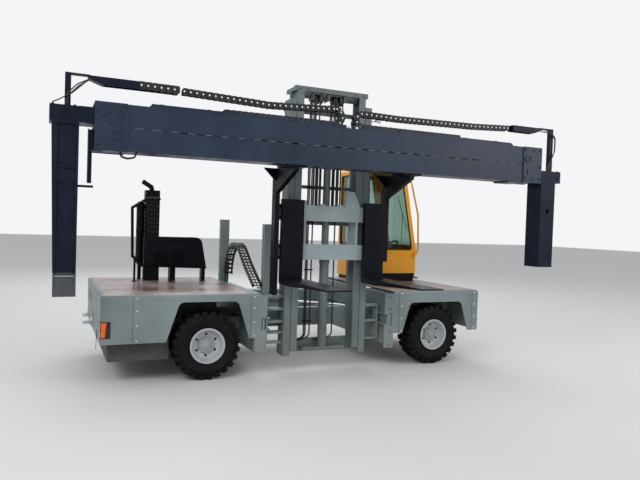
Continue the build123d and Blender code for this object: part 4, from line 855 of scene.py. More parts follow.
@dataclass
class ContainerFrame:
    """The telescopic frame: energy chains, bolts, screws, rims and hoses on the beam and its arms."""

    middle: float = -0.910
    lower_run: float = 3.0995
    top: float = 3.054
    near: float = -1.060
    far: float = -0.760
    left: float = -2.868
    right: float = 2.915
    plate: float = 0.016
    plate_w: float = 0.315
    trough: float = 0.056
    tube_seam: Flat = (2.8155, 2.8195)
    leg_channel: Point = (-2.914, 2.30, 0.062)

    def runs(self) -> None:
        """Draw both chains: the stretch up to the tray, and the bend with the lower run."""
        # Side, end of the tray, sagging points, start of the bend, end of the lower run
        for side, tray, sags, bend, low_end in (
            (-1, (-1.985, 3.277), ((-1.0, 3.240), (-0.4, 3.268)), (-0.182, 3.282), -1.5),
            (1, (2.425, 3.302), ((1.84, 3.272), (0.70, 3.252)), (0.185, 3.262), 1.6),
        ):
            chain = EnergyChain("chain_" + hand(side), FARWARD, 0.084, 0.072)
            radius = (bend[1] - self.lower_run) / 2
            turn = arc((bend[0], bend[1] - radius), radius, 90, 90 + side * 180, 14)
            upper, lower = ([(x, self.middle, z) for x, z in flat]
                            for flat in ((tray, *sags, bend), (*turn, (low_end, self.lower_run))))
            moving = "run_" + hand(side)
            chain.make("upper", upper, Bend("arm_" + hand(side), moving, (tray[0], 0, 0), (bend[0], 0, 0)))
            chain.make("lower", lower, moving, [chain.name])
        # The left tray holds the chain's last links between its walls, which show on both sides
        fixed = EnergyChain("chain_left", FARWARD, 0.117, 0.080, plate=0.0035)
        fixed.make("fixed", ((-2.43, self.middle, 3.286), (-2.02, self.middle, 3.279)), "arm_left")

    def plates(self) -> None:
        """Put bolts, screws, welds and fittings on the end plates and beam, and painted skylight along the
        tube seam.
        """
        bolts = [(self.left + x, z) for x, z in (
            (0.029, 2.963), (0.151, 2.968), (0.096, 2.924), (0.024, 2.880), (0.154, 2.852), (0.030, 2.640),
            (0.285, 2.640), (0.285, 3.020))]
        bolts += [(self.right - x, z) for x, z in (
            (0.029, 2.630), (0.151, 2.626), (0.030, 2.800), (0.285, 2.640), (0.285, 3.020), (0.030, 3.020),
            (0.140, 3.010))]
        faces = (("near", self.near - self.plate, NEARWARD), ("far", self.far + self.plate, FARWARD))
        for name, y, out in faces:
            fasten("plate_bolts_" + name, [(x, y, z) for x, z in bolts], out, "carriage", SLATE, 0.026)
        ends = [end + way * (0.05 + 0.09 * k)
                for end, way in ((self.left, 1), (self.right, -1)) for k in range(3)]
        pads = [(x, y, self.top) for x in ends for y in (self.near + 0.04, self.far - 0.04)]
        fasten("pad_screws", pads, UPWARD, "carriage", STEEL, 0.022)
        clips = [Matrix.Translation((side * (0.2 + 0.5 * k), self.middle + row, self.top + 0.05))
                 for row in (-self.trough, self.trough) for side in (-1, 1) for k in range(5)]
        clip = Shape().block((-0.02, -0.008, -0.012), (0.02, 0.008, 0.003))
        Copies.make("trough_clips", clip, clips, SLATE, "carriage")
        welds, sky_slits, fittings = Shape(), Shape(), Shape()
        for x in (self.left + self.plate_w, self.right - self.plate_w):
            for y in (self.near - 0.003, self.far + 0.003):
                welds.rod((x, y, 2.585), (x, y, 3.050), 0.006, 8)
        welds.piece("plate_welds", SLATE, "carriage")
        # Pale strips along the seam between the tubes: painted skylight showing through the gap, no real
        # part
        low, high = self.tube_seam
        for x in (-2.48 + 0.18 * k for k in range(28)):
            sky_slits.block((x, self.near - 0.0022, low), (x + 0.085, self.near, high))
        sky_slits.piece("tube_stitches", FRAME_GREY, "carriage")
        y, z = self.near + 0.075, self.top + 0.018
        fittings.rod((2.46, y, z), (2.55, y, z), 0.018)
        low, high = self.near + 0.050, self.near + 0.080
        for x in (-0.035, 0.060):
            fittings.block((x, low, self.top), (x + 0.035, high, self.top + 0.030))
        fittings.piece("beam_fittings", ZINC, "carriage", 0.002)

    def tails(self) -> None:
        """Run the hoses from each tray down its post into the cap, and dress the caps and legs."""
        # Side, X and Z of the tray's end, top of the cap, the hoses' route from there: out and down
        for side, tray, cap, route in (
            (-1, (-2.930, 3.322), 2.990, ((0.0, -0.045), (0.10, -0.10), (0.19, -0.20), (0.20, -0.336))),
            (1, (3.000, 3.350), 2.753,
             ((0.0, -0.045), (0.17, -0.030), (0.262, -0.11), (0.258, -0.30), (0.19, -0.44), (0.13, -0.601))),
        ):
            hoses, arm = Shape(), "arm_" + hand(side)
            for n in range(2):
                across, drops = self.middle - 0.046 - 0.004 * n, [0, *[0.016 * n] * (len(route) - 2), 0]
                hoses.tube([(tray[0] + side * (x - 0.014 * n), across, tray[1] + z - drop)
                            for (x, z), drop in zip(route, drops)], 0.0065, 0.08)
            if side < 0:
                third = ((0.0, -0.050), (0.14, -0.19), (0.28, -0.28), (0.322, -0.30), (0.330, -0.336))
                hoses.tube([(tray[0] - x, self.middle - 0.060, tray[1] + z) for x, z in third], 0.006, 0.06)
            hoses.piece("tray_hoses_" + hand(side), HOSE, arm)
            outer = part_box(arm)[side > 0].x
            inset = (0.03, 0.23)
            spots = [(outer - side * dx, self.near + dy, cap - 0.0005) for dx in inset for dy in inset]
            # The cap bolts take the darker copy of the slate paint: painted shade
            fasten("cap_bolts_" + hand(side), spots, UPWARD, arm, SHADED_SLATE, 0.024)
        loop = Shape()
        for y in (self.near + 0.05, self.near + 0.08):
            sag = ((-2.615, 2.582), (-2.600, 2.530), (-2.540, 2.515), (-2.470, 2.530), (-2.450, 2.582))
            loop.tube([(x, y, z) for x, z in sag], 0.009, 0.03)
        loop.piece("end_hose", HOSE, "carriage")
        x, foot, step = self.leg_channel
        holes = [facing((x, self.middle, foot + step * k), TAILWARD) for k in range(7)]
        section = ((0.020, 0), (0.020, 0.0016), (0.013, 0.0016), (0.013, 0))
        ring = Shape().turn(section, sides=16, hollow=True)
        Copies.make("channel_rims", ring, holes, SLATE, "carriage")

    def make(self) -> None:
        """Dress the whole frame."""
        self.runs()
        self.plates()
        self.tails()


@dataclass
class Mast:
    """Leaf chains, sheaves, hoses, glands and bolts of the mast and its carriage."""

    middle: float = 0.080
    strand: float = 0.125
    leaf_pitch: float = 0.030
    axle: Flat = (-0.190, 2.850)
    crown: Flat = (-0.190, 3.541)
    wheel: float = 0.062
    ring: float = 0.060
    anchor: float = 2.150
    tie: float = 2.000
    lift: Flat = (0.470, -0.007)
    port_z: float = 0.86
    forks: Flat = (-0.481, 0.680)
    hose: float = 0.0095
    hoses: tuple[float, ...] = (-0.161, -0.139, -0.080, 0.129, 0.151, 0.247)
    hose_wheels: tuple[float, ...] = (-0.150, -0.060, 0.140, 0.230)
    clamps: tuple[float, ...] = (0.62, 1.30, 1.93, 2.92)

    def leaf(self) -> Shape:
        """Make two pitches of leaf chain round the origin: five plates and their pins, Z along the chain."""
        shape = Shape()
        for layer in range(5):
            x, middle = -0.0155 + layer * 0.0064, 0 if layer % 2 else self.leaf_pitch / 2
            top, foot = ((0, middle + self.leaf_pitch * share) for share in (0.30, -0.30))
            outline = arc(top, 0.0075, 0, 180, 4) + arc(foot, 0.0075, 180, 360, 4)
            shape.run(outline, Way.X, x, x + 0.0052)
        for z in (0.0075, -0.0075):
            shape.rod((-0.0175, 0, z), (0.0175, 0, z), 0.0035, 8)
        return shape

    def chains(self) -> None:
        """Hang the leaf chains and anchors: down to the carriage, to the stage, and over the sheaves."""
        y, z = self.axle
        sides = [self.middle + side * self.strand for side in (-1, 1)]
        # Name, row, foot, the body at the foot, where the strand starts and ends to bend
        for name, row, foot, body, start, end in (
            ("front", y - self.wheel, self.anchor, "carriage", 2 * z - self.anchor, self.anchor),
            ("rear", y + self.wheel, self.tie, "stage", self.tie, 2 * z - self.tie),
        ):
            walks = (walk(((x, row, z), (x, row, foot)), self.leaf_pitch) for x in sides)
            places = [Matrix.Translation(place) for steps in walks for place, _ in steps]
            held = Bend("stage", "carriage", (0, 0, start), (0, 0, end))
            Copies.make("leaf_" + name, self.leaf(), places, CHAIN_STEEL, held, [name + "_strands"])
            rods = Shape()
            for x in sides:
                rods.block((x - 0.014, row - 0.010, foot - 0.002), (x + 0.014, row + 0.010, foot + 0.030))
                rods.rod((x, row, foot - 0.075), (x, row, foot), 0.0075, 12)
                for below in (0.062, 0.048):
                    rods.turn(((0.015, 0), (0.015, 0.012)), (x, row, foot - below), sides=6)
            rods.piece("anchor_rods_" + name, STEEL, body)
        over, sheaves = [], Shape()
        for x in sides:
            for a in (math.pi * (k + 0.5) / 7 for k in range(7)):
                centre = Vector((x, y + self.wheel * math.cos(a), z + self.wheel * math.sin(a)))
                over.append(Matrix.Translation(centre) @ Matrix.Rotation(a, 4, "X"))
            for face in (-0.0225, 0.0185):
                sheaves.turn(((0.070, 0), (0.070, 0.004)), (x + face, y, z), CABWARD)
            sheaves.rod((x - 0.040, y, z), (x + 0.040, y, z), 0.016, 12)
        Copies.make("leaf_over", self.leaf(), over, CHAIN_STEEL, "free_head")
        sheaves.piece("sheaves", STEEL, "free_head", 0.0015)

    def pipes(self) -> None:
        """Run the hoses over the crown: one side down the stage, the other down to the carriage."""
        y, z = self.crown
        back, front = y + self.ring, y - self.ring
        still, moving, over, rims, clamps = (Shape() for _ in range(5))
        for n, x in enumerate(self.hoses):
            bend = x - 0.09 - 0.012 * (n % 3)
            still.tube(((x, back, z), (x, back, 0.52), (x, back + 0.004, 0.43), (bend, back + 0.008, 0.385),
                        (bend - 0.06, back + 0.012, 0.380)), self.hose, 0.06)
            over.tube([(x, *point) for point in arc(self.crown, self.ring, 0, 180, 10)], self.hose)
            drop = [(x, front, z - 0.05 * k) for k in range(int((z - 2.22) / 0.05))]
            moving.tube(drop + [(x, front, 2.12), (x, front - 0.02, 2.08), (x, -0.328, 2.05)], self.hose)
        for x in self.hose_wheels:
            for face in (-0.024, 0.020):
                rims.turn(((0.066, 0), (0.066, 0.004)), (x + face, y, z), CABWARD)
        for at in self.clamps:
            for x0, x1 in ((-0.175, -0.060), (0.115, 0.165)):
                clamps.block((x0, back - 0.013, at), (x1, back + 0.025, at + 0.018))
        still.piece("hoses_down_stage", HOSE, "stage")
        over.piece("hoses_over_crown", HOSE, "stage")
        moving.piece("hoses_to_carriage", HOSE, Bend("stage", "carriage", (0, 0, 3.40), (0, 0, 2.24)))
        rims.piece("hose_wheels", DARK, "stage", 0.0015)
        clamps.piece("hose_clamps", DARK, "stage", 0.002)

    def cylinders(self) -> None:
        """Add glands, ports and their pipes to the cylinders."""
        out, y = self.lift
        glands = [(hand(side), "reach", self.middle + side * out, y, 3.335, 0.045, 0.028)
                  for side in (-1, 1)]
        glands.append(("free", "stage", self.middle, -0.190, 1.450, 0.062, 0.047))
        for name, body, x, row, top, barrel, rod in glands:
            section = ((barrel + 0.004, -0.055), (barrel + 0.007, -0.050), (barrel + 0.007, -0.006),
                       (barrel + 0.002, 0.002), (rod + 0.006, 0.004), (rod + 0.002, 0.001),
                       (rod + 0.002, -0.055))
            Shape().turn(section, (x, row, top), hollow=True).piece("gland_" + name, MAST_GREY, body)
        ports, z = Shape(), self.port_z
        for side in (-1, 1):
            x = self.middle + side * out
            ports.rod((x, y - 0.045, z), (x, y - 0.075, z), 0.011, 12)
            bent = ((0, -0.070), (-0.06, -0.078), (-0.40, -0.078))
            ports.tube([(x + side * dx, y + dy, z) for dx, dy in bent], 0.007, 0.02)
        ports.piece("lift_pipes", STEEL, "reach")

    def bolts(self) -> None:
        """Put the bolts, welds, guides and hooks on the rails, crown and carriage."""
        crown = [(self.middle + x, -0.290, 3.634) for x in (-0.46, -0.34, 0.34, 0.46)]
        fasten("crown_bolts", crown, NEARWARD, "stage", MAST_GREY, 0.026)
        ends = [(self.middle + s * 0.70, -0.380, z) for s in (-1, 1) for z in (1.49, 1.62, 1.985, 2.115)]
        fasten("carriage_bolts", ends, NEARWARD, "carriage", DARK, 0.028)
        welds, guides, hooks = Shape(), Shape(), Shape()
        for x in (self.middle - 0.496, self.middle + 0.496):
            for z0, z1 in ((0.225, 0.355), (2.375, 2.420), (3.353, 3.409)):
                welds.rod((x, -0.064, z0), (x, -0.064, z1), 0.005, 8)
        wheel, y = ((0.020, -0.012), (0.024, -0.008), (0.024, 0.008), (0.020, 0.012)), self.crown[0]
        for edge, side, at in ((-0.505, -1, 3.385), (0.665, 1, 3.330)):
            end = edge + side * 0.180
            for z in (at, at + 0.038):
                guides.rod((edge - side * 0.004, y, z), (end, y, z), 0.005, 8)
            guides.rod((end, y, at - 0.020), (end, y, at + 0.055), 0.007, 8)
            guides.turn(wheel, (edge + side * 0.130, y, at + 0.019), FARWARD, 20)
        hook = ((-0.385, 2.150), (-0.385, 2.176), (-0.340, 2.180), (-0.318, 2.172), (-0.318, 2.120),
                (-0.328, 2.120), (-0.330, 2.152))
        for x in (fork + dx for fork in self.forks for dx in (-0.09, 0.09)):
            hooks.run(hook, Way.X, x - 0.03, x + 0.03)
        welds.piece("tie_welds", MAST_GREY, "reach")
        guides.piece("mast_guides", STEEL, "reach")
        hooks.piece("fork_hooks", DARK, "carriage", 0.002)

    def make(self) -> None:
        """Dress the mast."""
        self.chains()
        self.pipes()
        self.cylinders()
        self.bolts()


@dataclass
class ReachGear:
    """The arched chain with its hoses, and the reach cylinder's fittings."""

    across: float = -0.812
    arch: tuple[Flat, ...] = (
        (1.270, 1.130), (1.262, 1.215), (1.240, 1.300), (1.210, 1.370), (1.155, 1.447), (1.070, 1.515),
        (0.970, 1.562), (0.880, 1.584), (0.800, 1.590), (0.720, 1.582), (0.640, 1.558), (0.560, 1.514),
        (0.470, 1.450), (0.330, 1.352), (0.190, 1.268), (0.040, 1.184), (-0.095, 1.110))
    hose: float = 0.0075
    pivot: Point = (-0.620, 1.430, 0.775)
    eye: Point = (0.630, 0.100, 0.775)

    def chain(self) -> None:
        """Draw the arched chain, which bends between the truck and the mast's carriage."""
        held = Bend("chassis", "reach", (0, 1.20, 0), (0, 0.0, 0))
        arch = EnergyChain("arch", CABWARD, 0.124, 0.056, pitch=0.066, plate=0.009)
        arch.make("whole", [(self.across, y, z) for y, z in self.arch], held, ["reach_chain"])
        hoses, tails = Shape(), Shape()
        for x in (self.across - 0.040, self.across):
            hoses.tube(rounded([(x, y, z) for y, z in self.arch], 0.03, 2), self.hose)
            down = ((0, 1.270, 1.135), (0, 1.272, 1.06), (-0.02, 1.255, 0.96), (-0.05, 1.24, 0.90))
            tails.tube([(x + dx, y, z) for dx, y, z in down], self.hose, 0.05)
        hoses.piece("arch_hoses", HOSE, held)
        tails.piece("arch_tails", HOSE)

    def cylinder(self) -> None:
        """Add the gland, the ports and the pipe of the reach cylinder."""
        pivot, eye, up = Vector(self.pivot), Vector(self.eye), Vector(UPWARD)
        along = (eye - pivot).normalized()
        section = ((0.049, -0.060), (0.053, -0.054), (0.053, -0.004), (0.046, 0.003), (0.032, 0.006),
                   (0.029, 0.004), (0.029, -0.060))
        gland = Shape().turn(section, pivot + along * 0.875, along, hollow=True)
        gland.piece("reach_gland", DARK, "reach_barrel")
        pipe, rear, front = Shape(), pivot + along * 0.13, pivot + along * 0.80
        for port in (rear, front):
            pipe.rod(port + up * 0.042, port + up * 0.066, 0.012, 12)
        pipe.tube((front + up * 0.062, pivot + along * 0.70 + up * 0.066, rear + up * 0.066), 0.007, 0.02)
        for at in (0.30, 0.55):
            clip = pivot + along * at + along.cross(up) * 0.012
            pipe.block(clip - Vector((0.006, 0.006, -0.040)), clip + Vector((0.006, 0.006, 0.070)))
        pipe.piece("reach_pipes", STEEL, "reach_barrel")

    def make(self) -> None:
        """Dress the reach gear."""
        self.chain()
        self.cylinder()


@dataclass
class Truck:
    """Panel seams, screws, deck screws, lamps and tail fittings of the two bodies."""

    near: float = -0.430
    far: float = 1.830
    top: float = 1.038
    rear: Flat = (-2.721, -0.930)
    front: Flat = (1.030, 2.435)
    rim: float = 0.045
    panel_edges: tuple[Flat, ...] = ((-2.373, 0.492), (-0.985, 0.492), (1.115, 0.467), (2.330, 0.467))
    under_cab: Point = (1.2, 2.25, 0.85)
    lamp_depth: float = 0.135
    coupling: Flat = (0.700, 0.620)

    def panels(self) -> None:
        """Draw the seams of the bolted panels with their screws, at each panel edge's X and foot."""
        seams, screws = Shape(), []
        # The far side is the widest place of the truck, so its screws lie flush
        for y, out, sunk in ((self.near, NEARWARD, 0), (self.far, FARWARD, 0.0040)):
            for x, low in self.panel_edges:
                seams.block((x - 0.002, y - 0.0008, low + 0.004), (x + 0.002, y + 0.0001, self.top - 0.030))
                heights = (low + 0.03, low + 0.20, low + 0.37, self.top - 0.035)
                screws += [facing((x + 0.045, y - sunk, z), out) for z in heights]
        seams.piece("panel_seams", SEAL)
        Copies.make("panel_screws", screw_head(0.011), screws, ZINC)

    def boards(self) -> None:
        """Screw the deck boards down along their edges, and draw the joint round them."""
        places, joints, edge, count = [], Shape(), self.rim + 0.03, 6
        left, right, behind = self.under_cab
        c, d = self.near + self.rim, self.far - self.rim
        for x0, x1 in (self.rear, self.front):
            for y in (self.near + edge, 0.805, 0.875, self.far - edge):
                for x in (x0 + edge + (x1 - x0 - 2 * edge) * k / (count - 1) for k in range(count)):
                    if not (left < x < right and y > behind):
                        places.append(facing((x, y, self.top - 0.001), UPWARD))
            a, b = x0 + self.rim, x1 - self.rim
            for low, high in (((a - 0.001, c - 0.001), (b + 0.001, c + 0.0025)),
                              ((a - 0.001, d - 0.0025), (b + 0.001, d + 0.001)),
                              ((a - 0.001, c), (a + 0.0025, d)), ((b - 0.0025, c), (b + 0.001, d))):
                joints.block((*low, self.top - 0.006), (*high, self.top - 0.002))
        Copies.make("deck_screws", screw_head(0.010), places, STEEL)
        joints.piece("deck_joints", SEAL)

    def tail(self) -> None:
        """Add the lamps' lenses, the blank plate, the earth strap and the coupling's bolts."""
        x, lenses, reds = self.rear[0], Shape(), Shape()
        for edge, side in ((self.near, -1), (self.far, 1)):
            face = edge - side * 0.006
            low, high = sorted((face, face - side * self.lamp_depth))
            side_lens = ((0.012, 0.572), (0.052, 0.572), (0.068, 0.738), (0.012, 0.738))
            lenses.run([(x + dx, z) for dx, z in side_lens], Way.Y, face, face + side * 0.004)
            for shape, z0, z1 in ((reds, 0.642, 0.740), (lenses, 0.570, 0.634)):
                shape.block((x + 0.0025, low + 0.004, z0), (x + 0.0065, high - 0.004, z1))
        lenses.piece("lamp_lenses", LENS, bevel=0.001)
        reds.piece("lamp_reds", RED_LENS, bevel=0.001)
        plate = Shape().run(soft_corners((0.98, 0.80), (1.50, 0.91), 0.01), Way.X, x - 0.003, x + 0.001)
        plate.piece("blank_plate", SHOE_GREY, bevel=0.001)
        strap = ((-0.004, 0.60), (-0.001, 0.60), (-0.002, 0.45), (-0.006, 0.37), (-0.010, 0.37),
                 (-0.007, 0.45))
        Shape().run([(x + dx, z) for dx, z in strap], Way.Y, -0.010, 0.020).piece("earth_strap", HOSE)
        y, z = self.coupling
        bolts = [(x - 0.020, y + dy, z + dz) for dy in (-0.085, 0.085) for dz in (-0.065, 0.065)]
        fasten("coupling_bolts", bolts, TAILWARD, "chassis", TOW_CHROME, 0.026)
        front, lens = self.front[1] + 0.014, Shape()
        for y in (-0.30, 1.70):
            lens.turn(((0.050, 0), (0.047, 0.003), (0.020, 0.006)), (front, y, 0.80), CABWARD, 24)
            lens.turn(((0.030, 0), (0.028, 0.003), (0.010, 0.005)), (front, y, 0.725), CABWARD, 24)
        lens.piece("front_lenses", LENS)

    def well(self) -> None:
        """Fit hoses and bolts in the well's near ends."""
        hoses = Shape()
        for y, z in ((-0.30 + 0.03 * n, 0.44 + 0.05 * n) for n in range(3)):
            loop = ((-0.94, y, 0.20), (-0.86, -0.33, 0.16), (-0.80, -0.36, 0.05), (-0.86, -0.35, -0.06),
                    (-0.95, -0.31, -0.09))
            hoses.tube([(x, at, z + dz) for x, at, dz in loop], 0.011, 0.05)
        hoses.piece("well_hoses", HOSE)
        bolts = [(x, self.near, z) for x in (0.961, 0.996) for z in (0.32, 0.50, 0.80, 0.96)]
        fasten("post_bolts", bolts, NEARWARD, "chassis", FRAME_GREY, 0.022)

    def make(self) -> None:
        """Dress the truck."""
        self.panels()
        self.boards()
        self.tail()
        self.well()


@dataclass
class DeckGear:
    """The stack's slots drawn as dark plates of painted shade, the air cleaner's bands, the hood's louvres
    and the guard rail's feet.
    """

    stack: Flat = (-1.994, 1.450)
    slots: tuple[int, int] = (4, 14)
    slot_step: Flat = (0.041, 0.062)
    slot_foot: float = 1.42
    hood: float = 1.2702
    feet: tuple[float, ...] = (-2.162, -1.665, -1.212)
    foot: Flat = (1.200, 1.038)

    def make(self) -> None:
        """Dress the things on the rear deck."""
        (x, y), slots = self.stack, []
        for z in (self.slot_foot + k * self.slot_step[1] for k in range(self.slots[1])):
            for step in (n * self.slot_step[0] for n in range(self.slots[0])):
                slots.append(facing((x + 0.035 + step, y - 0.0002, z), NEARWARD))
                slots.append(facing((x - 0.0002, y + 0.033 + step, z), TAILWARD))
        # The slots are dark plates, not openings: painted shade of the space behind them
        slot = Shape().run(soft_corners((-0.013, -0.020), (0.013, 0.020), 0.012, 3), Way.Z, -0.001, 0.0012)
        Copies.make("shroud_slots", slot, slots, SEAL)
        bands, cleaner = Shape(), (x - 0.060, y + 0.095)
        for z in (1.36, 1.72, 2.06):
            bands.turn(((0.0565, 0), (0.0595, 0.002), (0.0595, 0.020), (0.0565, 0.022)), (*cleaner, z))
            bands.block((x - 0.010, y + 0.075, z), (x + 0.004, y + 0.115, z + 0.022))
        bands.turn(((0.050, 0), (0.052, 0.010), (0.030, 0.034), (0.012, 0.038)), (*cleaner, 2.119))
        bands.piece("cleaner_bands", DARK)
        section = ((0.0, 0.0), (-0.014, 0.006), (-0.014, 0.010), (0.0, 0.022))
        louvre = Shape().run(section, Way.X, -0.095, 0.095)
        rows = [Matrix.Translation((at, self.hood, 1.30 + 0.035 * k))
                for at in (-1.80, -1.55) for k in range(5)]
        Copies.make("hood_louvres", louvre, rows, DARK)
        trims = Shape().rod((-1.98, 1.262, 1.60), (-1.25, 1.262, 1.60), 0.005, 8)
        for at in (-1.95, -1.32):
            trims.block((at, 1.255, 1.52), (at + 0.030, 1.270, 1.56))
        trims.piece("hood_trim", DARK, bevel=0.001)
        flanges, (row, floor) = Shape(), self.foot
        for at in self.feet:
            flanges.block((at - 0.035, row - 0.030, floor), (at + 0.035, row + 0.030, floor + 0.008))
        flanges.piece("rail_feet", DARK, bevel=0.001)
        spots = [(at + dx, row, floor + 0.008) for at in self.feet for dx in (-0.024, 0.024)]
        fasten("rail_bolts", spots, UPWARD, "chassis", STEEL, 0.014)


@dataclass
class Cab:
    """Window seals, wiper, handle, roof pads, levers and the sewn seat."""

    near: float = 0.900
    far: float = 1.800
    back: float = 1.240
    nose: float = 2.210
    sill: float = 1.550
    top: float = 2.860
    lean: float = 0.250

    def nose_at(self, z: float) -> float:
        """Give the leaning front's X at a height."""
        return self.nose - self.lean * (z - self.sill) / (self.top - self.sill)

    def seals(self) -> None:
        """Run a rubber seal round each window, and the door's."""
        y, x, ends = self.near - 0.001, self.back - 0.001, (0.975, 1.725)
        side = [(1.315, y, 1.550), (1.315, y, 2.785), (1.898, y, 2.785), (2.134, y, 1.550)]
        rear = [(x, ends[a], z) for a, z in ((0, 1.590), (0, 2.730), (1, 2.730), (1, 1.590))]
        nose = [(self.nose_at(z) + 0.001, ends[a], z)
                for a, z in ((0, 1.610), (0, 2.730), (1, 2.730), (1, 1.610))]
        y = self.far + 0.001
        door = [(1.370, y, 1.550), (1.370, y, 2.730), (1.852, y, 2.730), (2.078, y, 1.550)]
        groups = (("window_seals", (side, rear, nose), "chassis"), ("door_seal", (door,), "door"))
        for name, panes, body in groups:
            seal = Shape()
            for pane in panes:
                seal.tube(rounded(pane, 0.05, 4, closed=True), 0.009, sides=8)
            seal.piece(name, SEAL, body)

    def trim(self) -> None:
        """Add the wiper, the handle, the roof's pads, the skirt, its screws and the nose bracket."""
        # Across, height and distance off the front: the arm's foot and tip, the blade's two ends
        foot, tip, low, high = (Vector((self.nose_at(z) + out, y, z)) for y, z, out in (
            (1.35, 1.60, 0.012), (1.18, 2.15, 0.014), (1.10, 1.85, 0.012), (1.26, 2.45, 0.012)))
        wiper, boss = Shape(), ((0.018, 0), (0.018, 0.012), (0.010, 0.018))
        wiper.rod(foot, tip, 0.005, 8).rod(low, high, 0.005, 8)
        wiper.turn(boss, foot - Vector((0.012, 0, 0)), (1, 0, 0.19), 16)
        wiper.piece("wiper", SEAL)
        face, grip = self.far + 0.006, self.far + 0.022
        handle = Shape().run(soft_corners((1.93, 1.40), (2.03, 1.47), 0.015), Way.Y, self.far, face)
        handle.tube(((1.95, face, 1.45), (1.955, grip, 1.45), (2.03, grip, 1.44)), 0.006, 0.01)
        handle.piece("door_handle", SEAL, "door")
        roof = Shape()
        for y0, y1 in ((0.985, 1.325), (1.375, 1.715)):
            roof.run(soft_corners((1.34, y0), (1.86, y1), 0.03), Way.Z, self.top - 0.001, self.top + 0.003)
        roof.piece("roof_pads", CAB_YELLOW, bevel=0.0015)
        y0, y1 = self.near - 0.0012, self.near + 0.0008
        skirt = Shape().block((self.back + 0.02, y0, 1.090), (self.nose - 0.02, y1, 1.170))
        skirt.piece("cab_skirt", DARK)
        screws = [facing((x, self.near, z), NEARWARD) for x in (1.30, 1.75, 2.15) for z in (1.205, 1.500)]
        Copies.make("cab_screws", screw_head(0.008), screws, STEEL)
        bracket = Shape().block((2.224, 0.985, 1.075), (2.327, 1.155, 1.095))
        bracket.block((2.205, 0.995, 1.075), (2.226, 1.145, 1.262)).piece("nose_bracket", DARK, bevel=0.003)

    def cushion(self, low: Point, high: Point, crown: float, lean: float = 0.0) -> Shape:
        """Make a crowned pad whose sides pull in, with its top tilted back.

        Args:
            low: its lowest corner.
            high: its highest corner.
            crown: how far the top swells.
            lean: how far the top moves back.

        Returns:
            The pad.
        """
        rings = []
        # Share of the height, how far the outline pulls in there, share of the crown
        for share, inset, swell in (
            (0.0, 0.030, 0), (0.06, 0.010, 0), (0.25, 0.0, 0), (0.45, 0.004, 0), (0.50, 0.009, 0),
            (0.55, 0.004, 0), (0.78, 0.0, 0), (0.93, 0.012, 0), (0.99, 0.040, 0), (1.0, 0.085, 0.6),
            (1.0, 0.150, 1),
        ):
            z = low[2] + (high[2] - low[2] - crown) * share + crown * swell
            ends = inset * 0.6, lean * (z - low[2]) / (high[2] - low[2])
            outline = soft_corners((low[0] + ends[0] - ends[1], low[1] + inset),
                                   (high[0] - ends[0] - ends[1], high[1] - inset), 0.035, 5)
            rings.append([Vector((x, y, z)) for x, y in outline])
        return Shape().skin(rings)

    def seat(self) -> None:
        """Make the sewn seat in place of its plain solid, with its bellows and the levers beside it."""
        pad = self.cushion((1.352, 1.112, 1.350), (1.808, 1.588, 1.470), 0.012)
        pad.piece("seat_pad", CLOTH, replaces=["cab_seat"], sharp=60)
        back = self.cushion((1.362, 1.122, 1.475), (1.455, 1.578, 2.038), 0.010, 0.045)
        back.piece("seat_back", CLOTH, sharp=60)
        piping, levers = Shape(), Shape()
        for y in (1.235, 1.465):
            piping.tube(((1.380, y, 1.4705), (1.590, y, 1.4712), (1.790, y, 1.4700)), 0.003, sides=6)
        edge = [(x, y, 1.410) for x, y in ((1.356, 1.116), (1.804, 1.116), (1.804, 1.584), (1.356, 1.584))]
        piping.tube(rounded(edge, 0.035, 4, closed=True), 0.004, sides=6).piece("seat_piping", SEAL)
        base = Shape().block((1.420, 1.210, 1.121), (1.720, 1.490, 1.180))
        for n in range(5):
            fold, z = 0.004 * (n % 2), 1.180 + 0.033 * n
            base.block((1.412 - fold, 1.202, z), (1.728 + fold, 1.498, z + 0.033))
        base.piece("seat_bellows", SEAL, bevel=0.004)
        for x in (1.56 + 0.055 * n for n in range(4)):
            levers.rod((x, 1.015, 1.568), (x + 0.012, 1.012, 1.655), 0.006, 8)
            knob = ((0.014, 0), (0.019, 0.012), (0.016, 0.030), (0.006, 0.038))
            levers.turn(knob, (x + 0.012, 1.012, 1.650), (0.12, 0, 1), 16)
        levers.piece("levers", SEAL)

    def make(self) -> None:
        """Dress the cab."""
        self.seals()
        self.trim()
        self.seat()


WHEELS: dict[str, int] = {"rear_near": -1, "rear_far": 1, "front_near": -1, "front_far": 1}
CAD_FINISHES: dict[Finish, str] = {
    FRAME_GREY: "main_frame rear_body front_body reach_frame",
    MAST_GREY: "reach_cylinder outer_mast inner_mast lift_barrels free_barrel free_rod",
    PLATE_GREY: "fork_carriage",
    SLATE: "frame_beam chain_left chain_right",
    # The arms take the darker copy of the slate paint: painted shade
    SHADED_SLATE: "arm_left arm_right",
    SHOE_GREY: "leg_shoe",
    DARK: "exhaust air_cleaner engine_hood guard_rail cab_floor forks beam_columns",
    AXLE_BLACK: "rear_axle front_axle knuckle_near knuckle_far",
    CAB_YELLOW: "cab_shell cab_door grab_rail",
    BOARD: "decks",
    CAST: "counterweight engine_block",
    TOW_CHROME: "tow_coupling",
    CHROME: "reach_rod lift_rods",
    CHAIN_STEEL: "front_strands rear_strands",
    PLASTIC: "lamps cab_controls reach_chain",
    GLASS: "cab_glass door_glass",
    CLOTH: "cab_seat",
    RIM_SILVER: " ".join("rim_" + name for name in WHEELS),
    RUBBER: " ".join("tyre_" + name for name in WHEELS),
}


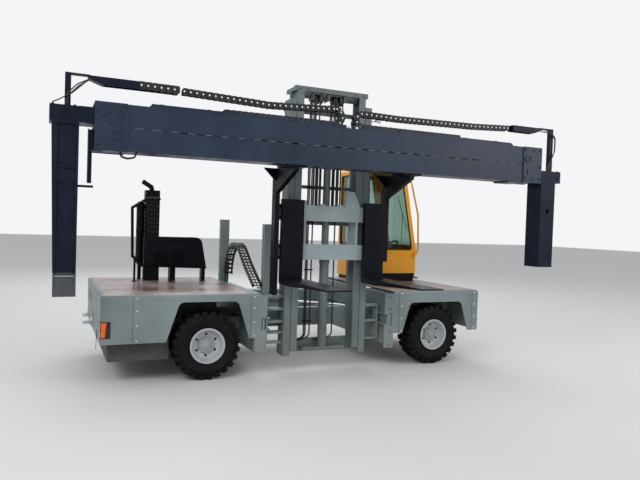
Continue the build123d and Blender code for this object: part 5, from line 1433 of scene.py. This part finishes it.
def main() -> None:
    """Build every sub-assembly in order."""
    logging.basicConfig(level=logging.INFO, format="%(message)s")
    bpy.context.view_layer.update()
    studio = Studio()
    studio.camera()
    studio.light()
    studio.floor()
    for finish, names in CAD_FINISHES.items():
        for name in names.split():
            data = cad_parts[name].data
            data.materials.clear()
            data.materials.append(finish.material())
            log.info("%s: %s", name, finish.name)
    wheels = [Wheel(name, side) for name, side in WHEELS.items()]
    for group in (*wheels, Truck(), DeckGear(), Cab(), ReachGear(), Mast(), ContainerFrame()):
        group.make()


if __name__ == "__main__":
    main()
